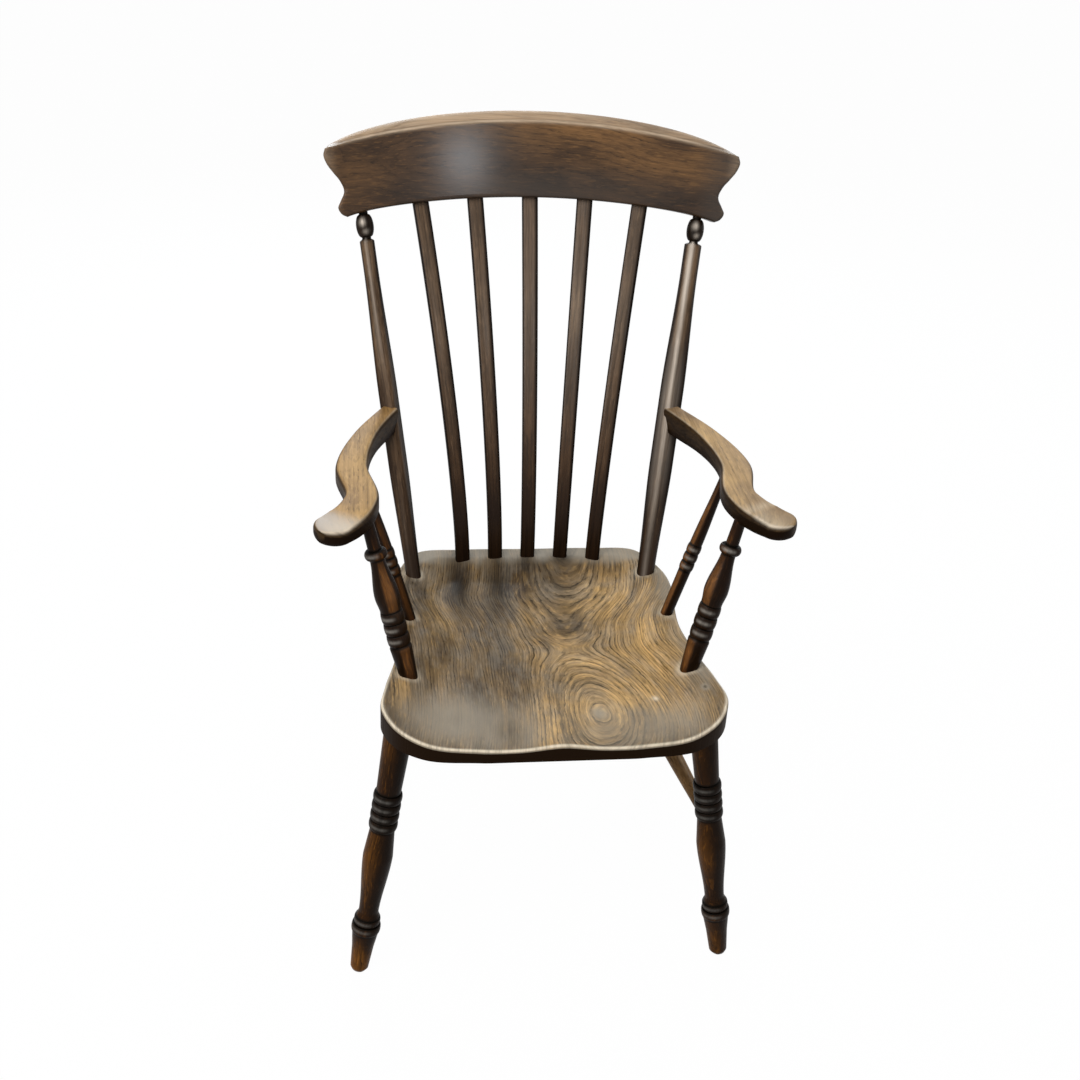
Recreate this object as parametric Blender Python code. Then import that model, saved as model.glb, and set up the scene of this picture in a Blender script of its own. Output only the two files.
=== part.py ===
"""Windsor armchair in wood.

A saddled plank seat stands on four turned legs tied by an H of stretchers. Five bent laths and two
posts fan out of the seat to a curved crest rail, and two sawn arms run from the posts to turned supports
and spindles. Every joint is a tenon in a blind mortise.

Metres and degrees, +Z up, the front of the chair towards -Y, the floor at z = 0. Left and right are those
of someone who faces the chair.
"""

import math

import bmesh
import bpy
import numpy as np
from mathutils import Matrix, Vector

# Fits
CLEARANCE = 0.0003  # gap between a tenon and its mortise, and between butted faces
TENON_TAPER = 6.0  # half angle of a round tenon, degrees
GROOVE = 0.15  # depth of the grooves between turned rings, as a share of a ring's height

# Seat
SEAT_HEIGHT = 0.437  # rim above the floor
SEAT_WIDTH = 0.444  # across the front corners
SEAT_NARROWING = 0.056  # from the front corners' width to that of the sides behind the flare
SEAT_DEPTH = 0.467
SEAT_THICKNESS = 0.040
SEAT_FRONT_CORNER = 0.048
SEAT_BACK_CORNER = 0.062
SEAT_FLARE = 0.236  # length over which the sides flare out to the front corners
SEAT_RIM = 0.026  # flat rim along the back and the sides
SEAT_SLOPE = 0.055  # fall from the rim into the hollow, in plan
SEAT_DISH = 0.017  # depth of the hollow
SEAT_POMMEL = 0.006  # rise between the thigh hollows
SEAT_POMMEL_WIDTH = 0.036
SEAT_EDGE_ROUND = 0.004
SEAT_EDGE_HEIGHT = 0.034  # upright part of the edge
SEAT_UNDERCUT = 0.009  # inset of the bevel below it
SEAT_WEB = 0.014  # wood left below a tenon in the rim
LEG_WEB = 0.023  # rim to the end of a leg's tenon

# Legs
FRONT_LEG_INSET = 0.0245  # from the seat's widest line to the leg's axis, at the underside
FRONT_LEG_SETBACK = 0.098  # from the seat's front
FRONT_LEG_SPLAY = 8.3
FRONT_LEG_RAKE = 4.8
REAR_LEG_INSET = 0.054
REAR_LEG_SETBACK = 0.109  # from the seat's back edge
REAR_LEG_SPLAY = 9.0
REAR_LEG_RAKE = 22.5
LEG_FOOT_DIAMETER = 0.025
LEG_FOOT_ROUND = 0.004
LEG_PEG_DIAMETER = 0.034  # where the peg foot meets the collar
LEG_PEG_LENGTH = 0.066
LEG_PEG_FLARE = 0.6  # share of the peg's length that stays slim
LEG_COLLAR_DIAMETER = 0.040
LEG_COLLAR_HEIGHT = 0.014
LEG_ANKLE_RING_DIAMETER = 0.036
LEG_ANKLE_RING_HEIGHT = 0.011
LEG_NECK_DIAMETER = 0.027
LEG_NECK_RISE = 0.008  # from the ankle ring to the narrowest place
LEG_VASE_DIAMETER = 0.040
LEG_VASE_RISE = 0.095  # from the neck to the thickest place
LEG_RING_COUNT = 4
LEG_RING_HEIGHT = 0.0145
LEG_RING_DIAMETER = 0.040
LEG_RING_DROP = 0.107  # from the seat's underside to the rings
LEG_TOP_DIAMETER = 0.0365

# Stretchers
STRETCHER_DROP = 0.011  # below the legs' rings
STRETCHER_END_DIAMETER = 0.017
SIDE_STRETCHER_DIAMETER = 0.024
CROSS_STRETCHER_DIAMETER = 0.022

# Crest rail
BACK_HEIGHT = 0.4937  # from the seat's rim to the lower edge of the rail, in the middle
CREST_SETBACK = 0.139  # from the seat's back edge to the rail's lower front edge, in the middle
CREST_RADIUS = 0.770  # plan curve of the front face
CREST_RAKE = 16.0
CREST_LENGTH = 0.575  # along the curve, tip to tip
CREST_DEPTH = 0.1033  # up the face, in the middle
CREST_THICKNESS = 0.028
CREST_TOP_ARCH = 0.0283  # drop of the top edge at the tips
CREST_BOTTOM_ARCH = 0.014
CREST_ROLL = 0.0155  # rise of the rolled top above the front edge, in the middle
CREST_ROLL_FADE = 0.5  # share of the roll that is lost towards the tips
CREST_ROUND = 0.004
CREST_EAR_INSET = 0.0124  # from the tip, along the rail
CREST_EAR_HEIGHT = 0.0135  # above the end's lowest point
CREST_EAR_DROP = 0.004  # of the ears below the arch of the lower edge
CREST_NOTCH_INSET = 0.0232
CREST_NOTCH_HEIGHT = 0.0345
CREST_HEEL_INSET = 0.0243  # where the round of the ear runs into the lower edge

# Laths
LATH_COUNT = 5
LATH_FOOT_SPACING = 0.0485
LATH_TOP_SPACING = 0.0775
LATH_SETBACK = 0.0226  # from the seat's back edge
LATH_FOOT_WIDTH = 0.0208
LATH_TOP_WIDTH = 0.0228
LATH_THICKNESS = 0.012
LATH_ARRIS = 0.002
LATH_BEND = 1.35  # power of the lean along the height: upright at the seat, raked at the rail
LATH_CREST_TENON = 0.020

# Posts
POST_INSET = 0.023  # from the seat's side
POST_SETBACK = 0.071  # from the seat's back edge
POST_SPREAD = 0.475  # between the posts' tops, along the rail
POST_FOOT_DIAMETER = 0.0212
POST_WIDTH = 0.0226  # squared part that takes the arm
POST_TOP_DIAMETER = 0.0204
POST_NECK_DIAMETER = 0.0126
POST_BALL_DIAMETER = 0.0245
POST_BALL_HEIGHT = 0.031
POST_BALL_GAP = 0.004  # from the ball to the rail
POST_CREST_TENON = 0.024
POST_ARRIS = 0.4  # corner radius of the squared part, as a share of its half width

# Arms: places in plan, outwards from the line of the seat's sides and back from its middle, with the width
ARM_RISE = 0.230  # from the seat's rim to the top of the arm
ARM_THICKNESS = 0.0255
ARM_END_THICKNESS = 0.037  # at the post
ARM_EDGE_ROUND = 0.005
ARM_END_WIDTH = 0.0255
ARM_SHOULDER = (0.043, 0.158, 0.032)
ARM_ELBOW = (0.0615, 0.062, 0.042)
ARM_WAIST = (0.050, -0.031, 0.044)
ARM_PALM = (0.072, -0.078, 0.050)
ARM_KNUCKLE = (0.089, -0.095, 0.043)
ARM_FINGER = (0.0965, -0.1025, 0.031)
ARM_TIP = (0.1015, -0.1075, 0.014)
ARM_HAND_FALL = 0.003  # drop of the hand's top from the palm to the tip
ARM_TENON_DIAMETER = 0.012
ARM_TENON_LENGTH = 0.012
ARM_WEB = 0.008  # wood left above a tenon in the arm

# Front supports of the arms
SUPPORT_INSET = 0.0075  # from the line of the seat's sides
SUPPORT_SETBACK = 0.149  # from the seat's front
SUPPORT_AHEAD = 0.031  # socket in the arm, in front of the waist
SUPPORT_INWARD = 0.009  # and inwards of it
SUPPORT_FOOT_DIAMETER = 0.024
SUPPORT_BASE_DIAMETER = 0.029
SUPPORT_RING_COUNT = 3
SUPPORT_RING_HEIGHT = 0.0165
SUPPORT_RING_DIAMETER = 0.030
SUPPORT_RING_RISE = 0.044  # from the seat
SUPPORT_VASE_DIAMETER = 0.032
SUPPORT_VASE_RISE = 0.021  # from the rings to the thickest place
SUPPORT_NECK_DIAMETER = 0.019
SUPPORT_COLLAR_DIAMETER = 0.029
SUPPORT_COLLAR_HEIGHT = 0.013
SUPPORT_COLLAR_DROP = 0.031  # from the arm
SUPPORT_TOP_DIAMETER = 0.017

# Rear spindles of the arms
SPINDLE_INSET = 0.0138
SPINDLE_SETBACK = 0.280
SPINDLE_AHEAD = 0.006  # socket in the arm, in front of the elbow
SPINDLE_INWARD = 0.0150  # and inwards of it
SPINDLE_FOOT_DIAMETER = 0.0165
SPINDLE_RING_COUNT = 3
SPINDLE_RING_HEIGHT = 0.0135
SPINDLE_RING_DIAMETER = 0.020
SPINDLE_RING_RISE = 0.072
SPINDLE_WAIST_DIAMETER = 0.0175  # below and above the rings
SPINDLE_TOP_DIAMETER = 0.012

# Mesh density
LEG_SIDES = 14
TURNED_SIDES = 12
BEAD_STEPS = 4
SWELL_STEPS = 4
SEAT_STEPS = 4
SEAT_RINGS = (0.30, 0.55, 0.70, 0.80, 0.88)  # shares of the outline
CREST_STATIONS = 25
CREST_CROWN = ((0.14, 0.25), (0.40, 0.78), (0.70, 1.0), (0.92, 0.70))  # shares of thickness and roll
LATH_STATIONS = 10
ARM_STEPS = 4
SMOOTH_ANGLE = 38.0

SIDES = {"left": -1, "right": 1}
SEAT_BACK_WIDTH = SEAT_WIDTH - SEAT_NARROWING
SEAT_FRONT = -SEAT_DEPTH / 2
SEAT_BACK = SEAT_DEPTH / 2
SEAT_UNDERSIDE = SEAT_HEIGHT - SEAT_THICKNESS
SEAT_TENON = SEAT_THICKNESS - SEAT_WEB
LEG_TENON = SEAT_THICKNESS - LEG_WEB
ARM_TOP = SEAT_HEIGHT + ARM_RISE
ARM_UNDERSIDE = ARM_TOP - ARM_THICKNESS
CREST_TIP = CREST_LENGTH / 2
CREST_HEEL = CREST_TIP - CREST_HEEL_INSET


# Shared shapes


def smoothstep(value, low, high):
    """0 below low, 1 above high, with a level start and end."""
    share = np.clip((value - low) / (high - low), 0.0, 1.0)
    return share * share * (3.0 - 2.0 * share)


def curve_through(points, steps, before=None, after=None):
    """Cubic curve through the points, in equal steps between neighbours.

    before and after are points beyond its ends that set the slopes there.
    """
    points = np.array(points, float)
    before = 2 * points[0] - points[1] if before is None else before
    after = 2 * points[-1] - points[-2] if after is None else after
    framed = np.vstack([before, points, after])
    knots = np.concatenate([[0.0], np.cumsum(np.linalg.norm(np.diff(framed, axis=0), axis=1))])
    slopes = np.gradient(framed, knots, axis=0)[1:-1]
    spans = np.diff(knots[1:-1])[:, None, None]
    share = (np.arange(steps) / steps)[None, :, None]
    curve = (1 + 2 * share) * (1 - share) ** 2 * points[:-1, None]
    curve = curve + share * (1 - share) ** 2 * slopes[:-1, None] * spans
    curve = curve + share**2 * (3 - 2 * share) * points[1:, None]
    curve = curve + share**2 * (share - 1) * slopes[1:, None] * spans
    return np.vstack([curve.reshape(-1, points.shape[1]), points[-1:]])


def cap(bm, loop):
    """Closes a loop of an even number of vertices with a ladder of faces between opposite edges."""
    last = len(loop) - 1
    for here in range(len(loop) // 2 - 1):
        bm.faces.new((loop[here], loop[here + 1], loop[last - here - 1], loop[last - here]))


def loft(sections, tip=None):
    """Closed mesh through sections of equally many points.

    It is capped at the end, and capped or drawn to a tip at the start.
    """
    bm = bmesh.new()
    loops = [[bm.verts.new(point) for point in section] for section in sections]
    count = len(loops[0])
    for lower, upper in zip(loops, loops[1:]):
        for here in range(count):
            there = (here + 1) % count
            bm.faces.new((lower[here], lower[there], upper[there], upper[here]))
    cap(bm, loops[-1])
    if tip is None:
        cap(bm, loops[0])
    else:
        apex = bm.verts.new(tip)
        for here in range(count):
            bm.faces.new((apex, loops[0][here], loops[0][(here + 1) % count]))
    bmesh.ops.recalc_face_normals(bm, faces=bm.faces)
    return bm


def turn(profile, sides=TURNED_SIDES):
    """Closed mesh of a profile of (height, radius) points, from the bottom up, turned about the Z axis."""
    bm = bmesh.new()
    verts = [bm.verts.new((radius, 0.0, height)) for height, radius in profile]
    edges = [bm.edges.new(pair) for pair in zip(verts, verts[1:])]
    about = {"cent": (0, 0, 0), "axis": (0, 0, 1), "angle": math.tau}
    bmesh.ops.spin(bm, geom=verts + edges, steps=sides, use_merge=True, **about)
    bmesh.ops.holes_fill(bm, edges=bm.edges, sides=sides)
    bmesh.ops.recalc_face_normals(bm, faces=bm.faces)
    return bm


def bead(start, height, root, crown):
    """Half-round bead of a turned profile: its ends lie at the root radius and its middle at the crown."""
    angles = np.linspace(0.0, math.pi, BEAD_STEPS + 1)
    return list(zip(start + height * (1 - np.cos(angles)) / 2, root + (crown - root) * np.sin(angles)))


def rings(start, count, height, root, crown):
    """Row of beads, one on another."""
    return [point for ring in range(count) for point in bead(start + ring * height, height, root, crown)]


def swell(start, end, first, last):
    """Smooth change of radius along a turned profile, level at both ends."""
    heights = np.linspace(start, end, SWELL_STEPS + 1)
    return list(zip(heights, first + (last - first) * smoothstep(heights, start, end)))


def joined(*runs):
    """One profile of several runs, with each point where two runs meet kept once."""
    profile = []
    for height, radius in (point for run in runs for point in run):
        if not profile or math.dist(profile[-1], (height, radius)) > CLEARANCE / 3:
            profile.append((float(height), float(radius)))
    return profile


def eased_corners(half, deep, ease):
    """Rectangle of these half sizes with its four corners cut off, as (across, deep) points."""
    quarter = [(half, deep - ease), (half - ease, deep)]
    left = [(-x, y) for x, y in reversed(quarter)]
    return quarter + left + [(-x, -y) for x, y in quarter + left]


def tapered(radius, depth):
    """Radius at the end of a round tenon of this depth."""
    return radius - depth * math.tan(math.radians(TENON_TAPER))


def bore(height, radius, depth, up):
    """Profile of a round tenon's mortise, open past the shoulder, which has this height and radius."""
    mouth = height - up * 2 * radius
    end = height + up * (depth + CLEARANCE)
    wide, narrow = tapered(radius, -2 * radius), tapered(radius, depth)
    return sorted([(mouth, wide + CLEARANCE), (end, narrow + CLEARANCE)])


# Pieces and cutters


def wood(name, colour, roughness):
    """Plain wood finish."""
    material = bpy.data.materials.new(name)
    material.use_nodes = True
    shader = material.node_tree.nodes["Principled BSDF"]
    shader.inputs["Base Color"].default_value = (*colour, 1.0)
    shader.inputs["Roughness"].default_value = roughness
    shader.inputs["Metallic"].default_value = 0.0
    return material


def add_object(name, bm, chair, place):
    """Object of the mesh under the chair, located and turned by the place matrix."""
    mesh = bpy.data.meshes.new(name)
    bm.to_mesh(mesh)
    bm.free()
    piece = bpy.data.objects.new(name, mesh)
    piece.parent = chair
    piece.location = place.to_translation()
    piece.rotation_euler = place.to_euler()
    return piece


def add_piece(name, bm, chair, material, place):
    """Visible sub-part, shaded smooth across its shallow edges."""
    piece = add_object(name, bm, chair, place)
    piece.data.materials.append(material)
    piece.data.shade_smooth()
    piece.data.set_sharp_from_angle(angle=math.radians(SMOOTH_ANGLE))
    bpy.context.scene.collection.objects.link(piece)
    return piece


def mortise(piece, bm, chair, place):
    """Cuts the mesh out of the piece, along with the piece's other mortises."""
    group_name = f"{piece.name}_mortises"
    group = bpy.data.collections.get(group_name)
    if group is None:
        group = bpy.data.collections.new(group_name)
        bpy.context.scene.collection.children.link(group)
        cut = piece.modifiers.new("mortises", "BOOLEAN")
        cut.operation = "DIFFERENCE"
        cut.solver = "EXACT"
        cut.operand_type = "COLLECTION"
        cut.collection = group
    cutter = add_object(f"{piece.name}_mortise_{len(group.objects) + 1}", bm, chair, place)
    cutter.hide_render = True
    cutter.display_type = "WIRE"
    group.objects.link(cutter)


def along(start, end):
    """Place of a turned piece: its origin at start and its Z axis towards end."""
    start, end = Vector(start), Vector(end)
    return Matrix.LocRotScale(start, (end - start).to_track_quat("Z", "Y"), None)


def at(point):
    """Place of an unturned piece."""
    return Matrix.Translation(Vector(point))


def mirrored(point, side):
    """A point of the right half, or its mirror image on the left."""
    return Vector((point[0] * side, *point[1:]))


# Seat


def seat_outline():
    """Closed outline in plan: nearly straight front, flared front corners, straight sides, round back."""
    wide, narrow = SEAT_WIDTH / 2, SEAT_BACK_WIDTH / 2
    flare = wide - narrow
    half = [
        (0.0, SEAT_FRONT),
        (0.60 * (wide - SEAT_FRONT_CORNER), SEAT_FRONT + 0.02 * SEAT_FRONT_CORNER),
        (wide - SEAT_FRONT_CORNER, SEAT_FRONT + 0.25 * SEAT_FRONT_CORNER),
        (wide - 0.35 * SEAT_FRONT_CORNER, SEAT_FRONT + 0.75 * SEAT_FRONT_CORNER),
        (wide, SEAT_FRONT + 1.5 * SEAT_FRONT_CORNER),
        (narrow + 0.80 * flare, SEAT_FRONT + 0.52 * SEAT_FLARE),
        (narrow + 0.38 * flare, SEAT_FRONT + 0.73 * SEAT_FLARE),
        (narrow, SEAT_FRONT + SEAT_FLARE),
        (narrow, SEAT_BACK - SEAT_BACK_CORNER),
        (narrow - 0.48 * SEAT_BACK_CORNER, SEAT_BACK - 0.12 * SEAT_BACK_CORNER),
        (0.5 * narrow, SEAT_BACK),
        (0.0, SEAT_BACK),
    ]
    flip = np.array((-1.0, 1.0))
    right = curve_through(half, SEAT_STEPS, before=half[1] * flip, after=half[-2] * flip)
    return np.vstack([right, right[-2:0:-1] * flip])


def seat_dish(plan, from_edge):
    """Depth of the saddle at points in plan.

    A flat rim runs behind and beside it, and the thigh hollows run out at the front.
    """
    across, ahead = np.abs(plan[:, 0]), plan[:, 1] - SEAT_FRONT
    inside = smoothstep(from_edge, SEAT_RIM, SEAT_RIM + SEAT_SLOPE)
    front = smoothstep(-ahead, -2.6 * SEAT_FRONT_CORNER, -SEAT_FRONT_CORNER)
    front = front * (1 - np.minimum(across / (SEAT_WIDTH / 2), 1.0) ** 4)
    pommel = smoothstep(-ahead, -0.4 * SEAT_DEPTH, 0.0) * np.exp(-((across / SEAT_POMMEL_WIDTH) ** 2))
    return SEAT_DISH * (inside + (1 - inside) * front) - SEAT_POMMEL * pommel


def seat_mesh():
    """The outline's rings: over the saddle from the middle, round the top edge, down to the underside."""
    outline = seat_outline()
    reach = np.linalg.norm(outline, axis=1)

    def ring(inset, drop):
        plan = outline * (1 - inset / reach)[:, None]
        return np.column_stack([plan, -drop - seat_dish(plan, np.full_like(reach, inset))])

    def flat_ring(inset, depth):
        plan = outline * (1 - inset / reach)[:, None]
        return np.column_stack([plan, np.full(len(plan), -depth)])

    saddle = []
    for share in SEAT_RINGS:
        plan = outline * share
        saddle.append(np.column_stack([plan, -seat_dish(plan, (1 - share) * reach)]))
    ease = SEAT_EDGE_ROUND
    edge = [ring(ease, 0.0), ring(0.3 * ease, 0.3 * ease), ring(0.0, ease)]
    base = [flat_ring(0.0, SEAT_EDGE_HEIGHT), flat_ring(SEAT_UNDERCUT, SEAT_THICKNESS)]
    return loft(saddle + edge + base, (0.0, 0.0, -SEAT_DISH))


def seat_point(inset_line, inset, setback, level, side):
    """Place on the seat: inset from half of a width, set back from the front or, if negative, the back."""
    y = SEAT_FRONT + setback if setback > 0 else SEAT_BACK + setback
    return Vector((side * (inset_line / 2 - inset), y, level))


def build_seat(chair):
    """The saddled plank."""
    finish = wood("seat_wood", (0.30, 0.19, 0.10), 0.35)
    return add_piece("seat", seat_mesh(), chair, finish, at((0, 0, SEAT_HEIGHT)))


# Legs and stretchers


def leg_profile(length):
    """Turned leg from its foot to the end of its tenon. length runs from the floor to the seat."""
    foot, peg, top = LEG_FOOT_DIAMETER / 2, LEG_PEG_DIAMETER / 2, LEG_TOP_DIAMETER / 2
    neck, vase, ring = LEG_NECK_DIAMETER / 2, LEG_VASE_DIAMETER / 2, LEG_RING_DIAMETER / 2
    collar_top = LEG_PEG_LENGTH + LEG_COLLAR_HEIGHT
    ankle_top = collar_top + LEG_ANKLE_RING_HEIGHT
    neck_at = ankle_top + LEG_NECK_RISE
    vase_at = neck_at + LEG_VASE_RISE
    rings_top = length - LEG_RING_DROP
    rings_foot = rings_top - LEG_RING_COUNT * LEG_RING_HEIGHT
    groove = ring - GROOVE * LEG_RING_HEIGHT
    ankle_groove = peg - GROOVE * LEG_ANKLE_RING_HEIGHT
    return joined(
        [(-LEG_FOOT_ROUND, foot - LEG_FOOT_ROUND), (LEG_FOOT_ROUND, foot)],
        swell(LEG_PEG_FLARE * LEG_PEG_LENGTH, LEG_PEG_LENGTH, foot, peg),
        bead(LEG_PEG_LENGTH, LEG_COLLAR_HEIGHT, peg, LEG_COLLAR_DIAMETER / 2),
        bead(collar_top, LEG_ANKLE_RING_HEIGHT, ankle_groove, LEG_ANKLE_RING_DIAMETER / 2),
        [(neck_at, neck)],
        swell(neck_at, vase_at, neck, vase),
        [(rings_foot, groove)],
        rings(rings_foot, LEG_RING_COUNT, LEG_RING_HEIGHT, groove, ring),
        [(length, top), (length + LEG_TENON, tapered(top, LEG_TENON))],
    )


def leg_axis(kind, side):
    """Where a leg's axis meets the seat's underside and the floor."""
    if kind == "front":
        head = seat_point(SEAT_WIDTH, FRONT_LEG_INSET, FRONT_LEG_SETBACK, SEAT_UNDERSIDE, side)
        splay, rake = FRONT_LEG_SPLAY, -FRONT_LEG_RAKE
    else:
        head = seat_point(SEAT_BACK_WIDTH, REAR_LEG_INSET, -REAR_LEG_SETBACK, SEAT_UNDERSIDE, side)
        splay, rake = REAR_LEG_SPLAY, REAR_LEG_RAKE
    lean = Vector((side * math.tan(math.radians(splay)), math.tan(math.radians(rake)), -1.0))
    return head, head + lean * SEAT_UNDERSIDE


def build_leg(kind, side_name, chair, seat, finish):
    """One leg, cut level at the floor, and its mortise in the seat. Returns the leg."""
    head, foot = leg_axis(kind, SIDES[side_name])
    place, length = along(foot, head), (head - foot).length
    bm = turn(leg_profile(length), LEG_SIDES)
    floor_normal = place.to_3x3().inverted() @ Vector((0, 0, 1))
    everything = bm.verts[:] + bm.edges[:] + bm.faces[:]
    bmesh.ops.bisect_plane(bm, geom=everything, plane_co=(0, 0, 0), plane_no=floor_normal, clear_inner=True)
    bmesh.ops.holes_fill(bm, edges=bm.edges, sides=0)
    bmesh.ops.recalc_face_normals(bm, faces=bm.faces)
    leg = add_piece(f"{kind}_leg_{side_name}", bm, chair, finish, place)
    mortise(seat, turn(bore(length, LEG_TOP_DIAMETER / 2, LEG_TENON, 1), LEG_SIDES), chair, place)
    return leg


def stretcher_end(kind, side):
    """Where a side stretcher's axis meets a leg's axis, below the leg's rings."""
    head, foot = leg_axis(kind, side)
    drop = LEG_RING_DROP + LEG_RING_COUNT * LEG_RING_HEIGHT + STRETCHER_DROP
    return head + (foot - head).normalized() * drop


def build_stretcher(name, ends, middle_diameter, holders, chair, finish):
    """Stretcher between two axes, thickest in its middle, and its mortises in the pieces that hold it."""
    start, end = ends
    place, length = along(start, end), (end - start).length
    tip, middle = STRETCHER_END_DIAMETER / 2, middle_diameter / 2
    profile = joined(swell(0.0, length / 2, tip, middle), swell(length / 2, length, middle, tip))
    stretcher = add_piece(name, turn(profile), chair, finish, place)
    inner, wider = profile[1]
    for holder, level, up in ((holders[0], 0.0, -1), (holders[1], length, 1)):
        mouth, bottom = level - up * inner, level + up * CLEARANCE
        hole = sorted([(bottom, tip + CLEARANCE), (mouth, wider + CLEARANCE)])
        mortise(holder, turn(hole), chair, place)
    return stretcher


def build_base(chair, seat):
    """Legs and stretchers."""
    leg_finish = wood("leg_wood", (0.13, 0.055, 0.022), 0.32)
    stretcher_finish = wood("stretcher_wood", (0.20, 0.11, 0.05), 0.4)
    sides = {}
    for side_name, side in SIDES.items():
        legs = [build_leg(kind, side_name, chair, seat, leg_finish) for kind in ("front", "rear")]
        ends = [stretcher_end(kind, side) for kind in ("front", "rear")]
        name = f"side_stretcher_{side_name}"
        stretcher = build_stretcher(name, ends, SIDE_STRETCHER_DIAMETER, legs, chair, stretcher_finish)
        sides[side_name] = (stretcher, (ends[0] + ends[1]) / 2)
    holders, ends = zip(*sides.values())
    build_stretcher("cross_stretcher", ends, CROSS_STRETCHER_DIAMETER, holders, chair, stretcher_finish)


# Crest rail


def crest_point(length, rise, depth):
    """Point of the rail: along its curve from the middle, up its raked face, and back from that face."""
    turned, rake = length / CREST_RADIUS, math.radians(CREST_RAKE)
    radius = CREST_RADIUS + rise * np.sin(rake) + depth * np.cos(rake)
    height = SEAT_HEIGHT + BACK_HEIGHT + rise * np.cos(rake) - depth * np.sin(rake)
    middle = SEAT_BACK + CREST_SETBACK - CREST_RADIUS
    across, back = radius * np.sin(turned), middle + radius * np.cos(turned)
    return np.stack(np.broadcast_arrays(across, back, height), axis=-1)


def crest_lower_edge(length):
    """Rise of the lower edge at a place along the rail: a shallow arch that drops at the ears."""
    share = length / CREST_HEEL
    return -CREST_BOTTOM_ARCH * share**2 - CREST_EAR_DROP * share**12


def crest_end():
    """Shaped right end of the rail as (length, rise) points: heel, ear, notch, sweep and rounded tip."""
    low, high = crest_lower_edge(CREST_HEEL), CREST_DEPTH - CREST_TOP_ARCH
    ear, notch = CREST_TIP - CREST_EAR_INSET, CREST_TIP - CREST_NOTCH_INSET
    notch_rise = low + CREST_NOTCH_HEIGHT
    sweep = high - notch_rise
    return np.array([
        (CREST_HEEL, low),
        (0.40 * CREST_HEEL + 0.60 * ear, low + 0.28 * CREST_EAR_HEIGHT),
        (ear, low + CREST_EAR_HEIGHT),
        (0.65 * ear + 0.35 * notch, low + 0.65 * CREST_EAR_HEIGHT + 0.35 * CREST_NOTCH_HEIGHT),
        (notch, notch_rise),
        (CREST_TIP - 0.80 * CREST_NOTCH_INSET, notch_rise + 0.25 * sweep),
        (CREST_TIP - 0.48 * CREST_NOTCH_INSET, notch_rise + 0.43 * sweep),
        (CREST_TIP - 0.10 * CREST_NOTCH_INSET, notch_rise + 0.68 * sweep),
        (CREST_TIP, notch_rise + 0.85 * sweep),
        (CREST_TIP - 0.75 * CREST_ROUND, high),
    ])


def sawn(depth):
    """Share of the front face's length at a depth behind it."""
    return CREST_RADIUS / (CREST_RADIUS + depth)


def crest_ring(share, squeeze):
    """Section of the rail at a share of its half length: face, rolled top and back.

    squeeze draws the faces together. The ends are sawn straight back, so the back is the shorter.
    """
    end = crest_end()
    level = (end[:, 1] - end[0, 1]) / (end[-1, 1] - end[0, 1])
    low, high = crest_lower_edge(share * CREST_HEEL), CREST_DEPTH - CREST_TOP_ARCH * share**2
    rise = low + level * (high - low)
    front = np.full(len(end), squeeze)
    front[0] = max(CREST_ROUND, squeeze)
    along_rail = share * end[:, 0]
    face = crest_point(along_rail, rise, front)
    back = crest_point(along_rail * sawn(CREST_THICKNESS - front), rise, CREST_THICKNESS - front)
    deep, raised = np.array(CREST_CROWN).T
    roll = CREST_ROLL * (1 - CREST_ROLL_FADE * share**4) * math.sqrt(1 - share**10)
    depth = squeeze + (CREST_THICKNESS - 2 * squeeze) * deep
    crown = crest_point(along_rail[-1] * sawn(depth), high + roll * raised, depth)
    return np.vstack([face, crown, back[::-1]])


def build_crest(chair):
    """The curved rail, with its ends eased."""
    shoulder = 1 - CREST_ROUND / CREST_TIP
    shares = [-1.0, *np.linspace(-shoulder, shoulder, CREST_STATIONS), 1.0]
    origin = crest_point(0.0, 0.0, 0.0)
    sections = [crest_ring(share, CREST_ROUND if abs(share) == 1.0 else 0.0) - origin for share in shares]
    finish = wood("crest_wood", (0.14, 0.085, 0.05), 0.3)
    return add_piece("crest_rail", loft(sections), chair, finish, at(origin))


# Laths


def lath_ring(foot, head, share, facing, grow=0.0):
    """Section of a lath at a share of its height.

    It leans by a power of the height, and runs straight on beyond both ends.
    """
    inside = min(max(share, 0.0), 1.0)
    step = Vector((head - foot).xy)
    lean = inside**LATH_BEND + LATH_BEND * inside ** (LATH_BEND - 1) * (share - inside)
    centre = Vector((*(foot.xy + step * lean), foot.z + (head.z - foot.z) * share))
    slope = LATH_BEND * inside ** (LATH_BEND - 1)
    run = Vector((*(step * slope), head.z - foot.z)).normalized()
    across = Vector((math.cos(facing), -math.sin(facing), 0.0))
    out = run.cross(across).normalized()
    half = (LATH_FOOT_WIDTH + (LATH_TOP_WIDTH - LATH_FOOT_WIDTH) * inside) / 2 + grow
    deep = LATH_THICKNESS / 2 + grow
    corners = eased_corners(half, deep, LATH_ARRIS)
    return [centre + across * wide + out * thick - foot for wide, thick in corners]


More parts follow.
